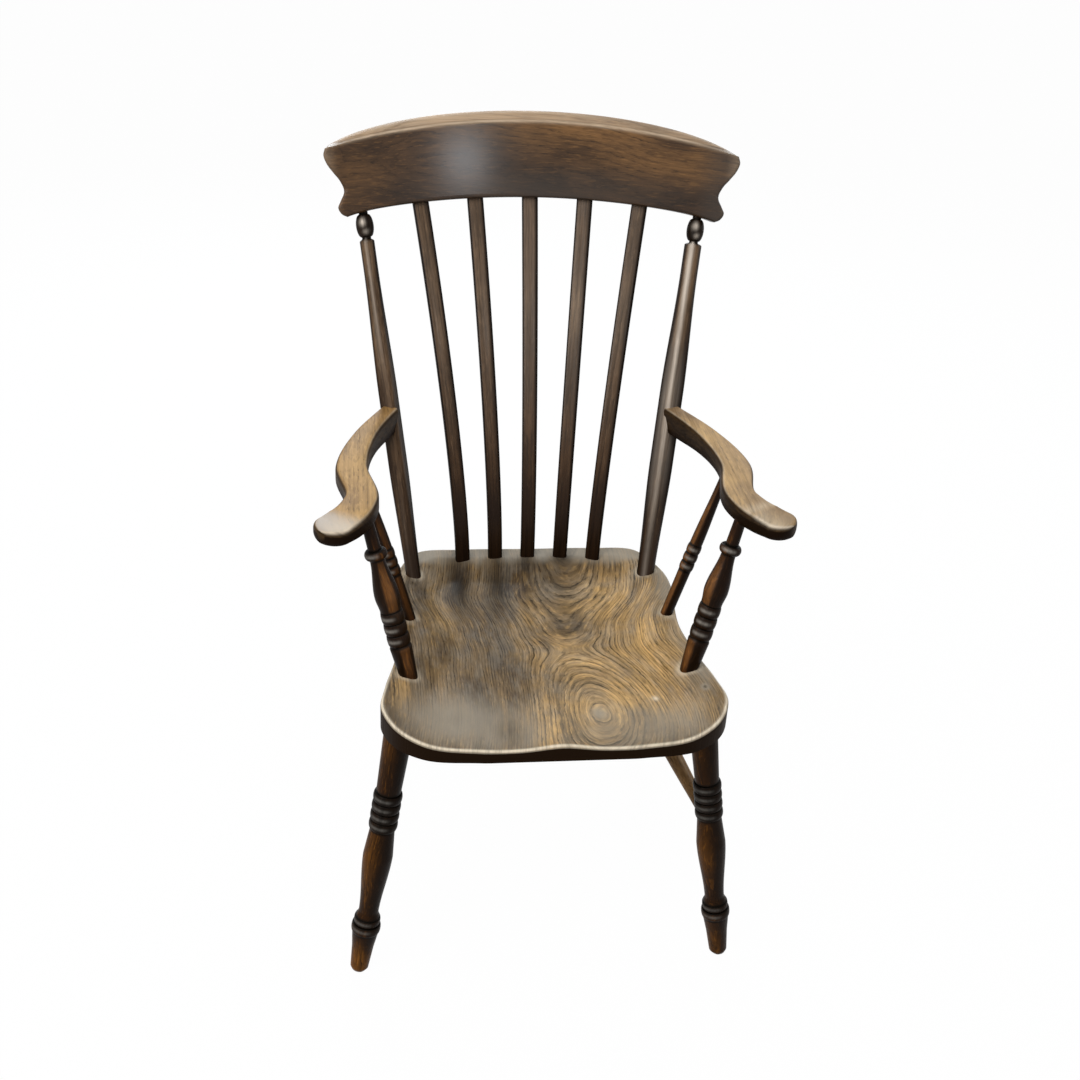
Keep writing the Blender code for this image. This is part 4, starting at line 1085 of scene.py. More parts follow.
    def post_frame(self, side: Side, arm_level: float, shoulder: Point) -> tuple[Array, Array, Array, float]:
        """Directions of a post and the height of its arm joint.

        Args:
            side: Half of the chair.
            arm_level: Height of the middle of the arm's end.
            shoulder: Place in plan that the arm runs to.

        Returns:
            Direction square to the face that takes the arm, direction beside it, direction up the post,
            and the distance from the foot to the joint.
        """
        foot, head = self.post_axis(side)
        up = unit(head - foot)
        joint = foot + up * ((arm_level - foot[2]) / up[2])
        facing = mirrored((shoulder[0], shoulder[1], joint[2]), side) - joint
        facing = unit(facing - up * facing.dot(up))
        return facing, np.cross(up, facing), up, float(np.linalg.norm(joint - foot))

    def post_section(self, height: Array, length: float, joint: float) -> tuple[Array, Array]:
        """Half width and roundness of the shaft: squared where it takes the arm, round towards both ends."""
        squared = smoothstep(height, 0.0, 0.7 * joint)
        squared = squared * smoothstep(-height, -0.85 * length, -1.15 * joint)
        end = np.where(height < joint, self.post_foot, self.post_top)
        return end + (self.post_half - end) * squared, 1 + (self.post_arris - 1) * squared

    def post(self, side: Side, arm_level: float, shoulder: Point) -> Surface:
        """Post with its neck and ball: eased squares up the shaft, then circles.

        Args:
            side: Half of the chair.
            arm_level: Height of the middle of the arm's end.
            shoulder: Place in plan that the arm runs to.

        Returns:
            Its surface.
        """
        foot, head = self.post_axis(side)
        facing, beside, up, joint = self.post_frame(side, arm_level, shoulder)
        length = float(np.linalg.norm(head - foot))
        ball_foot = length - self.post_ball_gap - self.post_ball_height
        shaft_top = ball_foot - 0.9 * self.post_neck
        height = np.concatenate([[-self.tenon], np.linspace(0.0, shaft_top, 90)])
        half, roundness = self.post_section(height, length, joint)
        stout = self.post_stout if side is Side.RIGHT else 1.0
        half = half * stout
        neck, top = self.post_neck, self.post_top * stout
        crown = turned_profile(
            run((shaft_top + 0.10 * neck, 0.97 * top), (ball_foot - 0.6 * neck, 0.8 * top)),
            run((ball_foot - 0.4 * neck, neck)),
            bead(ball_foot, self.post_ball_height, neck, self.post_ball, steps=24),
            run((length, neck), (length + self.tenon, neck - 0.001)),
            spacing=0.002,
        )
        height = np.concatenate([height, crown[:, 0]])
        half = np.concatenate([half, crown[:, 1]])
        roundness = np.concatenate([roundness, np.ones(len(crown))])
        section = rounded_box(12, half, half, half * np.clip(roundness, 0.0, 0.999))
        one, two = section[..., :1], section[..., 1:]
        rings = foot + height[:, None, None] * up + one * facing + two * beside
        one, two = one[..., 0], two[..., 0]
        level = height[:, None]
        grain = layers(np.hypot(one + 0.03, two - 0.03), level + 6.3 * side.value, two)
        outward = unit(rings - (foot + level[..., None] * up))[..., 0]
        # painted shade on the flanks that face sideways
        flank = smoothstep(np.abs(outward + 0.08), 0.60, 0.95)
        groove = strongest(bump(level, ball_foot - 0.002, 0.0035), bump(level, length - 0.004, 0.004))
        ball = smoothstep(level, ball_foot - 0.003, ball_foot)
        foot_dark = 0.55 * (1 - smoothstep(level, 0.0, 0.25 * length))
        grime = strongest(0.90 * flank, groove, 0.80 * ball, foot_dark)
        upper = smoothstep(level, 0.15 * length, 0.80 * length)
        # painted highlight streak up the front of the post
        least, bright, wide, centre = self.right_streak if side is Side.RIGHT else self.left_streak
        streak = bump(outward, centre, wide) * (least + bright * upper) * (1 - foot_dark) * (1 - ball)
        ball_height = self.post_ball_height
        shine = bump(level, ball_foot + 0.65 * ball_height, 0.005) * bump(outward, -0.25, 0.30)
        glint = bump(level, ball_foot + 0.22 * ball_height, 0.0035) * bump(outward, 0.05, 0.35)
        glow = (0.30 + 0.45 * upper) * (1 - flank) * (1 - ball)
        return Surface(rings, grain, layers(strongest(streak, 0.90 * shine, 0.45 * glint), grime, glow))

    def pieces(self) -> Iterator[Piece]:
        """Rail, laths and posts."""
        arms = Arms(self.seat, self)
        yield Piece("crest_rail", "crest_wood", self.rail())
        for index in range(self.lath_count):
            yield Piece(f"back_lath_{index + 1}", "back_wood", self.lath(index))
        for side in Side:
            surface = self.post(side, arms.joint_level, arms.shoulder)
            yield Piece(f"back_post_{side.label}", "back_wood", surface)


# Arms


@dataclass
class Arms(SubAssembly):
    """Two sawn arms with their turned supports and slim spindles."""

    seat: Seat
    back: Back
    rise: float = 0.230
    thickness: float = 0.0255
    end_thickness: float = 0.037
    edge_round: float = 0.0055
    hand_edge_round: float = 0.0085
    end_width: float = 0.0255
    # Places in plan from the chair's middle, with the width there
    shoulder: tuple[float, float, float] = (0.237, 0.158, 0.032)
    elbow: tuple[float, float, float] = (0.2555, 0.062, 0.042)
    waist: tuple[float, float, float] = (0.244, -0.031, 0.044)
    palm: tuple[float, float, float] = (0.264, -0.0765, 0.0525)
    knuckle: tuple[float, float, float] = (0.2769, -0.0895, 0.0540)
    hand_round: float = 0.0222
    hand_fall: float = 0.003
    tip_ease: float = 0.0035
    tip_width: float = 0.03  # share of the hand's width that is left at its very end
    crown: float = 0.0012
    tenon: float = 0.003
    knots: Sequence[tuple[float, float]] = ((-0.243, 0.116), (-0.255, 0.087))
    support_inset: float = 0.0075
    support_setback: float = 0.149
    support_ahead: float = 0.031
    support_inward: float = 0.009
    support_foot: float = 0.012
    support_base: float = 0.0145
    support_ring_count: int = 3
    support_ring_height: float = 0.0165
    support_ring: float = 0.015
    support_ring_rise: float = 0.044
    support_vase: float = 0.016
    support_vase_rise: float = 0.021
    support_neck: float = 0.0095
    support_collar: float = 0.0145
    support_collar_height: float = 0.013
    support_collar_drop: float = 0.031
    support_top: float = 0.0085
    spindle_inset: float = 0.0138
    spindle_setback: float = 0.280
    spindle_ahead: float = 0.006
    spindle_inward: float = 0.015
    spindle_foot: float = 0.00825
    spindle_ring_count: int = 3
    spindle_ring_height: float = 0.0135
    spindle_ring: float = 0.010
    spindle_ring_rise: float = 0.072
    spindle_waist: float = 0.00875
    spindle_top: float = 0.006
    groove: float = 0.13
    # Depth of the sticks in the seat and in the arm, and how much slimmer their ends are
    seat_tenon: float = 0.012
    seat_taper: float = 0.001
    arm_tenon: float = 0.008
    arm_taper: float = 0.0008
    # the left spindle's painted lit strip is fainter
    left_spindle_glow: float = 0.3  # share of the right one's
    # Directions of the sticks' painted lit strips, in degrees from the viewer's left towards the front
    lit_strip_left: float = 112.0
    lit_strip_right: float = 28.0

    @property
    def top(self) -> float:
        """Height of the arm's top."""
        return self.seat.height + self.rise

    @property
    def underside(self) -> float:
        """Height of the arm's underside."""
        return self.top - self.thickness

    @property
    def joint_level(self) -> float:
        """Height of the middle of the arm's end at the post."""
        return self.top - self.end_thickness / 2

    def path(self, steps: int = 16) -> Array:
        """Right arm's middle line in plan with its width, from the post's face to the hand's round end."""
        facing, _, up, joint = self.back.post_frame(Side.RIGHT, self.joint_level, self.shoulder)
        foot, head = self.back.post_axis(Side.RIGHT)
        half = self.back.post_section(np.array([joint]), float(np.linalg.norm(head - foot)), joint)[0][0]
        start = foot + up * joint + facing * half
        first = np.array((start[0], start[1], self.end_width))
        points = np.array([first, self.shoulder, self.elbow, self.waist, self.palm, self.knuckle])
        ahead = np.array((facing[0], facing[1], 0.0)) * np.linalg.norm(points[1] - first)
        path = curve_through(points, steps, before=first - ahead)
        inside = first - self.tenon * np.array((facing[0], facing[1], 0.0)) / np.linalg.norm(facing[:2])
        return np.vstack([inside, path])

    def arm(self, side: Side, steps: int = 16) -> Surface:
        """Eased rectangles along the path, deeper at the post, with the hand falling to a half-round end.

        Round the end, a station's way ahead is the sine of a quarter turn and its width the cosine.
        The end's rings lean with the post's face: they shift by the height over the joint times the
        face's slope, less and less up to the shoulder.

        Args:
            side: Half of the chair.
            steps: Steps between the path's points.

        Returns:
            The arm's surface.
        """
        path = self.path(steps)
        turn = np.linspace(0.0, math.pi / 2, 25)[1:]
        forward = unit(path[-1, :2] - path[-2, :2])
        tip = path[-1, :2] + self.hand_round * np.sin(turn)[:, None] * forward
        width = path[-1, 2] * np.maximum(np.cos(turn), self.tip_width)
        path = np.vstack([path, np.column_stack([tip, width])])
        station = np.arange(len(path)) - 1
        elbow, palm, last = 2 * steps, 4 * steps, 5 * steps
        fall = self.hand_fall * np.clip((station - palm) / (last - palm), 0.0, 1.0)
        deeper = (self.end_thickness - self.thickness) * smoothstep(-station, -elbow, 0.0)
        round_end = np.concatenate([np.zeros(last + 2), (1 - np.cos(turn)) ** 2])
        half = path[:, 2] / 2
        deep = (self.thickness + deeper - fall) / 2 - self.tip_ease * round_end
        middle = self.underside - deeper + self.tip_ease * round_end + deep
        softer = (self.hand_edge_round - self.edge_round) * smoothstep(station, palm - steps, palm)
        ease = np.minimum(np.minimum(self.edge_round + softer, 0.8 * half), 0.8 * deep)
        section = rounded_box(10, half, deep, ease)
        wide, rise = section[..., 0], section[..., 1]
        crown = self.crown * (wide / half[:, None]) ** 2 * np.where(rise > 0, 1.0, 0.0)
        along_plan = unit(np.gradient(path[:, :2], axis=0))
        along_plan[last + 1:] = forward
        beside = layers(along_plan[:, 1], -along_plan[:, 0], 0.0)
        centre = layers(path[:, 0], path[:, 1], middle)
        rings = centre[:, None] + wide[..., None] * beside[:, None]
        rings[..., 2] += rise - crown
        facing = self.back.post_frame(Side.RIGHT, self.joint_level, self.shoulder)[0]
        level_run = np.linalg.norm(facing[:2])
        near_post = (1 - smoothstep(station, 0.0, steps))[:, None]
        shear = -facing[2] / level_run * near_post * (rings[..., 2] - self.joint_level)
        rings[..., :2] += shear[..., None] * facing[:2] / level_run
        rings = rings * (side.value, 1.0, 1.0)
        along = distances(path[:, :2])
        below = self.top - rings[..., 2]
        figure = np.hypot(0.8 * (rings[..., 0] - side.value * 0.30), 0.034 - below)
        grain = layers(figure, rings[..., 1] + 2.0 * side.value, below)
        marks, shade = self.arm_marks(rings, section, half, deep, along, along[palm + 1])
        return Surface(rings, grain, marks, shade)

    def arm_marks(
        self, rings: Array, section: Array, half: Array, deep: Array, along: Array, crease: float
    ) -> tuple[Array, Array]:
        """Pale inner edge and hand front, partly rubbed and partly painted highlight; greyer hand beyond its
        crease, partly painted sheen on the left one; painted shade on the sides, darker downwards; two knots.

        The upward part of the section's normal, the sine of its direction, tells the top from the sides.

        Args:
            rings: Places of the surface.
            section: Distances across the arm, towards the seat, and up from its middle.
            half: Half widths.
            deep: Half depths.
            along: Distance along the arm.
            crease: Distance of the hand's crease.

        Returns:
            Worn places with painted highlights, dark and grey places, and glow, and beside them the shade.
        """
        wide, rise = section[..., 0], section[..., 1]
        facing_up = np.sin(box_angles(wide.shape[1] // 4)) + 0 * wide
        facing_up[-1] = np.minimum(facing_up[-1], 0.0)
        upper = smoothstep(facing_up, 0.66, 0.97)
        edge = bump(facing_up, 0.86, 0.10)
        level = along[:, None]
        left = np.where(rings[..., 0] < 0, 1.0, 0.0)
        soft = smoothstep(level, crease - 0.016, crease + 0.018)
        crisp = smoothstep(level, crease - 0.006, crease + 0.004)
        hand = left * soft + (1 - left) * crisp
        shoulder = 1 - smoothstep(level, 0.02, 0.10)
        inner = smoothstep(wide, -0.2 * half[:, None], 0.9 * half[:, None])
        outer = smoothstep(-wide, 0.1 * half[:, None], 0.95 * half[:, None])
        knots = np.zeros(wide.shape)
        for x, y in self.knots:
            away = np.hypot(rings[..., 0] - x, rings[..., 1] - y)
            knots = np.maximum(knots, bump(away, 0.0, 0.0034))
        # painted shade on the sides, going to near black at the bottom
        lower = smoothstep(-rise / deep[:, None], -0.95, -0.05)
        below = (1 - upper) * (0.92 + 0.08 * lower)
        shade = strongest(below, 0.9 * knots * upper, 0.26 * hand * (1 - left) * upper)
        caked_and_shaded = (1 - upper) * smoothstep(lower, 0.15, 0.75)
        # grey hands beyond the crease, on the left hand partly painted sheen
        grime = strongest(hand * upper * (0.16 + 0.32 * left), caked_and_shaded)
        # painted highlight along the hand's front edge, partly rubbing
        front = hand * bump(facing_up, 0.84, 0.20) * inner
        rubbed = (1 - left) * bump(level, crease - 0.012, 0.010) * upper
        bare = 0.12 * (1 - left) * (1 - hand) * upper
        wear = edge * (0.06 + 0.16 * inner) + 0.30 * rubbed + 0.65 * front + bare
        glow = upper * (1 - 0.85 * shoulder) * (1 - 0.55 * outer)
        return layers(wear, grime, glow), shade

    def stick(
        self, start: Array, end: Array, profile: Array, grooves: Array, crowns: Array,
        dark: Array, glow: Array,
    ) -> Surface:
        """Turned stick, dark all over but for partly rubbed crowns with painted highlights and a painted lit
        strip on its inner side, with painted shade round the rest.

        Args:
            start: Foot on the seat.
            end: Head under the arm.
            profile: Rows of (height, radius).
            grooves: Heights of the grooves.
            crowns: Heights of the beads' crowns.
            dark: Darkness by height.
            glow: Glow by height, for the strip.

        Returns:
            Its surface.
        """
        rings, grain = turned(profile, start, end, (0.035, 0.03))
        height = profile[:, :1]
        groove = np.max(bump(height, grooves, 0.0020), axis=1, keepdims=True)
        grain = grain + (0.0, 3.0 * start[0], 0.0)
        highlight_side = turned_facing(rings.shape[1])[1]
        angle = np.linspace(0.0, math.tau, rings.shape[1], endpoint=False)
        strip = math.radians(self.lit_strip_right if start[0] > 0 else self.lit_strip_left)
        inner = smoothstep(np.cos(angle - strip), 0.78, 0.99)
        # painted highlights on the crowns, partly rubbed, and grey painted light along the strip
        rubbed = 0.75 * np.max(bump(height, crowns, 0.0022), axis=1, keepdims=True) * highlight_side
        rubbed = np.maximum(rubbed, 0.10 * glow[:, None] * inner)
        # painted shade round the stick away from the lit strip
        grime = strongest(groove, dark[:, None], 0.62 * (1 - inner))
        return Surface(rings, grain, layers(rubbed, grime, glow[:, None] * inner))

    def stick_ends(self, foot: Point, spot: Point, back_off: Point, side: Side) -> tuple[Array, Array]:
        """Foot and head of a stick.

        Args:
            foot: Its inset from the seat's side and its setback from the seat's front.
            spot: Place on the arm's middle line.
            back_off: How far the head lies inwards and ahead of that place.
            side: Half of the chair.

        Returns:
            Places on the seat and under the arm.
        """
        start = self.seat.point(self.seat.back_width, *foot, self.seat.height, side)
        return start, mirrored((spot[0] - back_off[0], spot[1] - back_off[1], self.underside), side)

    def ring_levels(self, rise: float, count: int, height: float) -> tuple[Array, Array]:
        """Heights of the grooves between a stick's rings, and of the rings' crowns."""
        return rise + np.arange(count + 1) * height, rise + (np.arange(count) + 0.55) * height

    def support(self, side: Side) -> Surface:
        """Front support: tapered foot, three rings, vase, neck and collar."""
        inset = self.support_inset, self.support_setback
        back_off = self.support_inward, self.support_ahead
        foot, head = self.stick_ends(inset, self.waist, back_off, side)
        length = float(np.linalg.norm(head - foot))
        rise, count, step = self.support_ring_rise, self.support_ring_count, self.support_ring_height
        ring, root = self.support_ring, self.support_ring - self.groove * step
        grooves, crowns = self.ring_levels(rise, count, step)
        rings_top = grooves[-1]
        vase_at = rings_top + self.support_vase_rise
        collar_top = length - self.support_collar_drop
        collar_foot = collar_top - self.support_collar_height
        profile = turned_profile(
            run((-self.seat_tenon, self.support_foot - self.seat_taper), (0.0, self.support_foot)),
            run((0.9 * rise, self.support_base)),
            beads(rise, count, step, root, ring),
            swell(rings_top + 0.001, vase_at, root + 0.001, self.support_vase, steps=12),
            swell(vase_at, collar_foot, self.support_vase, self.support_neck),
            bead(collar_foot, self.support_collar_height, self.support_neck, self.support_collar),
            run((collar_top, self.support_top)),
            run((length + self.arm_tenon, self.support_top - self.arm_taper)),
        )
        grooves = np.append(grooves, (collar_foot, collar_top))
        height = profile[:, 0]
        block = smoothstep(height, rise - 0.004, rise + 0.002)
        block = block * (1 - smoothstep(height, rings_top - 0.002, rings_top + 0.004))
        dark = np.maximum(0.60 * block, 0.45 * bump(height, length, 0.02))
        # strength of the painted lit strip by height, on the vase and near the foot
        glow = 0.62 * bump(height, vase_at + 0.010, 0.034) + 0.45 * bump(height, 0.022, 0.024)
        crowns = np.append(crowns, collar_foot + 0.6 * self.support_collar_height)
        return self.stick(foot, head, profile, grooves, crowns, dark, glow)

    def spindle(self, side: Side) -> Surface:
        """Rear spindle: tapered foot, three small rings and a long taper."""
        inset = self.spindle_inset, self.spindle_setback
        back_off = self.spindle_inward, self.spindle_ahead
        foot, head = self.stick_ends(inset, self.elbow, back_off, side)
        length = float(np.linalg.norm(head - foot))
        rise, count, step = self.spindle_ring_rise, self.spindle_ring_count, self.spindle_ring_height
        grooves, crowns = self.ring_levels(rise, count, step)
        rings_top = grooves[-1]
        root = self.spindle_waist - 0.0006
        profile = turned_profile(
            run((-self.seat_tenon, self.spindle_foot - self.seat_taper), (0.0, self.spindle_foot)),
            run((rise, self.spindle_waist)),
            beads(rise, count, step, root, self.spindle_ring),
            swell(rings_top, length, self.spindle_waist, self.spindle_top),
            run((length + self.arm_tenon, self.spindle_top - self.arm_taper)),
        )
        height = profile[:, 0]
        dark = 0.40 * bump(height, length, 0.05)
        # strength of the painted lit strip by height, near the foot and low on the shaft
        glow = 0.60 * bump(height, 0.035, 0.07) + 0.50 * bump(height, 0.16, 0.06)
        glow = glow * (1.0 if side is Side.RIGHT else self.left_spindle_glow)
        return self.stick(foot, head, profile, grooves, crowns, dark, glow)

    def pieces(self) -> Iterator[Piece]:
        """Arms, supports and spindles."""
        for side in Side:
            yield Piece(f"arm_{side.label}", "arm_wood", self.arm(side))
            yield Piece(f"arm_support_{side.label}", "support_wood", self.support(side))
            yield Piece(f"arm_spindle_{side.label}", "support_wood", self.spindle(side))


# Finishes


def srgb(red: int, green: int, blue: int) -> Colour:
    """Linear colour of display values from 0 to 255: ((c + 0.055) / 1.055) ^ 2.4, or c / 12.92 near black."""
    shown = np.array((red, green, blue)) / 255
    linear = np.where(shown > 0.04045, ((shown + 0.055) / 1.055) ** 2.4, shown / 12.92)
    return tuple(float(value) for value in linear)


Socket = bpy.types.NodeSocket
Value = Socket | float | tuple


class Graph:
    """Adds linked nodes to a node tree."""

    def __init__(self, tree: bpy.types.NodeTree) -> None:
        """Keeps the tree."""
        self.tree = tree

    def feed(self, socket: Socket, value: Value) -> None:
        """Links a socket to the input, or sets the input's own value."""
        if isinstance(value, bpy.types.NodeSocket):
            self.tree.links.new(value, socket)
        elif isinstance(value, tuple) and len(value) == 3 and socket.type == "RGBA":
            socket.default_value = (*value, 1.0)
        else:
            socket.default_value = value

    def node(
        self, kind: str, inputs: dict[str | int, Value] | None = None, **settings: object
    ) -> bpy.types.Node:
        """Adds a node.

        Args:
            kind: Node type.
            inputs: Values or sockets by input name or number.
            settings: Properties of the node.

        Returns:
            The node.
        """
        node = self.tree.nodes.new(kind)
        for name, value in settings.items():
            setattr(node, name, value)
        for key, value in (inputs or {}).items():
            self.feed(node.inputs[key], value)
        return node

    def math(self, operation: str, *values: Value, clamp: bool = False) -> Socket:
        """Result of a Math node."""
        inputs = dict(enumerate(values))
        return self.node("ShaderNodeMath", inputs, operation=operation, use_clamp=clamp).outputs[0]

    def times(self, first: Value, second: Value, clamp: bool = False) -> Socket:
        """Product of two numbers."""
        return self.math("MULTIPLY", first, second, clamp=clamp)

    def plus(self, first: Value, second: Value, clamp: bool = False) -> Socket:
        """Sum of two numbers."""
        return self.math("ADD", first, second, clamp=clamp)

    def minus(self, first: Value, second: Value) -> Socket:
        """First number less the second."""
        return self.math("SUBTRACT", first, second)

    def mix(self, factor: Value, first: Value, second: Value, blend: str = "MIX") -> Socket:
        """Colour mixed from two."""
        inputs = {0: factor, 6: first, 7: second}
        return self.node("ShaderNodeMix", inputs, data_type="RGBA", blend_type=blend).outputs[2]

    def scaled(self, vector: Value, scale: tuple[float, float, float]) -> Socket:
        """Vector multiplied part by part."""
        return self.node("ShaderNodeVectorMath", {0: vector, 1: scale}, operation="MULTIPLY").outputs[0]

    def noise(self, vector: Value, detail: float = 2.0, roughness: float = 0.55) -> Socket:
        """Noise from 0 to 1 at the scale of the vector."""
        inputs = {"Vector": vector, "Scale": 1.0, "Detail": detail, "Roughness": roughness}
        return self.node("ShaderNodeTexNoise", inputs).outputs[0]

    def ramp(
        self, value: Value, low: float, high: float, to_low: float = 0.0, to_high: float = 1.0
    ) -> Socket:
        """Smooth map of a range to another."""
        inputs = {0: value, 1: low, 2: high, 3: to_low, 4: to_high}
        return self.node("ShaderNodeMapRange", inputs, interpolation_type="SMOOTHSTEP").outputs[0]

    def attribute(self, name: str, output: str = "Vector") -> Socket:
        """Vector or, with "Fac", number of a point attribute."""
        return self.node("ShaderNodeAttribute", attribute_name=name).outputs[output]

    def parts(self, vector: Value) -> tuple[Socket, Socket, Socket]:
        """The three parts of a vector."""
        return tuple(self.node("ShaderNodeSeparateXYZ", {0: vector}).outputs)


class SocketKind(Enum):
    """Kinds of socket on a node group."""

    NUMBER = "NodeSocketFloat"
    VECTOR = "NodeSocketVector"
    COLOUR = "NodeSocketColor"


def new_group(
    name: str, inputs: dict[str, SocketKind], outputs: dict[str, SocketKind]
) -> tuple[Graph, dict[str, Socket], dict[str, Socket]]:
    """Shader node group with named sockets.

    Args:
        name: Name of the group.
        inputs: Kinds of the inputs by name.
        outputs: Kinds of the outputs by name.

    Returns:
        Graph of the group, its inputs and its outputs by name.
    """
    tree = bpy.data.node_groups.new(name, "ShaderNodeTree")
    for label, kind in inputs.items():
        tree.interface.new_socket(name=label, in_out="INPUT", socket_type=kind.value)
    for label, kind in outputs.items():
        tree.interface.new_socket(name=label, in_out="OUTPUT", socket_type=kind.value)
    graph = Graph(tree)
    source, sink = graph.node("NodeGroupInput"), graph.node("NodeGroupOutput")
    given = {label: source.outputs[label] for label in inputs}
    return graph, given, {label: sink.inputs[label] for label in outputs}


# What the figure puts out, and the slow, quick and jagged sway of its rings as (scale, strength)
FIGURES = ("Rings", "Fibres", "Pores", "Flecks", "Mottle", "Drift")
SWAYS = (((22.0, 7.0, 30.0), 2.0), ((120.0, 45.0, 120.0), 0.65), ((330.0, 95.0, 330.0), 0.6))


def timber_figure() -> bpy.types.NodeTree:
    """Group for the figure of wood, in metres of the grain attribute.

    A year's place is the distance across the rings, swayed by slow, quick and jagged noise, over the
    spacing. Rings rise sharply where its early wood starts and fade over its growth, each year with a
    strength of its own, with fainter lines between. Fibres are fine streaks along the wood, pores are
    short dark dashes in the early wood, flecks are short light ones, mottle comes in patches as long as a
    finger, and drift is a slow change of tone.

    Returns:
        The group.
    """
    number, vector = SocketKind.NUMBER, SocketKind.VECTOR
    graph, given, out = new_group(
        "timber_figure",
        {"Grain": vector, "Spacing": number, "Waver": number},
        {name: number for name in FIGURES},
    )
    grain = given["Grain"]
    across = graph.parts(grain)[0]
    sway: Value = 0.0
    for scale, strength in SWAYS:
        part = graph.minus(graph.noise(graph.scaled(grain, scale)), 0.5)
        sway = graph.math("MULTIPLY_ADD", part, strength, sway)
    place = graph.math("MULTIPLY_ADD", sway, given["Waver"], across)
    years = graph.math("DIVIDE", place, given["Spacing"])
    phase = graph.math("FRACT", years)
    fade = graph.math("POWER", graph.minus(1.0, phase), 4.0)
    rings = graph.times(fade, graph.ramp(phase, 0.0, 0.12))
    year = {"W": graph.math("FLOOR", years)}
    own = graph.node("ShaderNodeTexWhiteNoise", year, noise_dimensions="1D").outputs[0]
    rings = graph.times(rings, graph.math("MULTIPLY_ADD", own, 1.0, 0.65))
    third = graph.math("FRACT", graph.math("MULTIPLY_ADD", years, 3.0, 0.3))
    between = graph.times(graph.math("POWER", graph.minus(1.0, third), 2.0), graph.ramp(third, 0.0, 0.2))
    rings = graph.math("MULTIPLY_ADD", between, 0.30, rings)
    uneven = graph.ramp(graph.noise(graph.scaled(grain, (120.0, 22.0, 120.0)), 3.0), 0.34, 0.60, 0.30, 1.0)
    rings = graph.times(rings, uneven)
    fine = graph.noise(graph.scaled(grain, (430.0, 13.0, 400.0)), 4.0, 0.65)
    broad = graph.noise(graph.scaled(grain, (150.0, 6.0, 140.0)), 2.0, 0.5)
    fibres = graph.plus(graph.times(fine, 0.5), graph.times(broad, 0.5))
    dash = graph.ramp(graph.noise(graph.scaled(grain, (560.0, 62.0, 460.0)), 2.0), 0.53, 0.66)
    pores = graph.times(dash, graph.ramp(rings, 0.15, 0.6, 0.45, 1.0))
    fleck = graph.ramp(graph.noise(graph.scaled(grain, (450.0, 50.0, 390.0)), 2.0), 0.54, 0.67)
    graph.feed(out["Flecks"], fleck)
    graph.feed(out["Mottle"], graph.noise(graph.scaled(grain, (42.0, 24.0, 60.0)), 4.0, 0.65))
    graph.feed(out["Rings"], rings)
    graph.feed(out["Fibres"], fibres)
    graph.feed(out["Pores"], pores)
    graph.feed(out["Drift"], graph.noise(graph.scaled(grain, (16.0, 9.0, 20.0)), 3.0, 0.6))
    return graph.tree


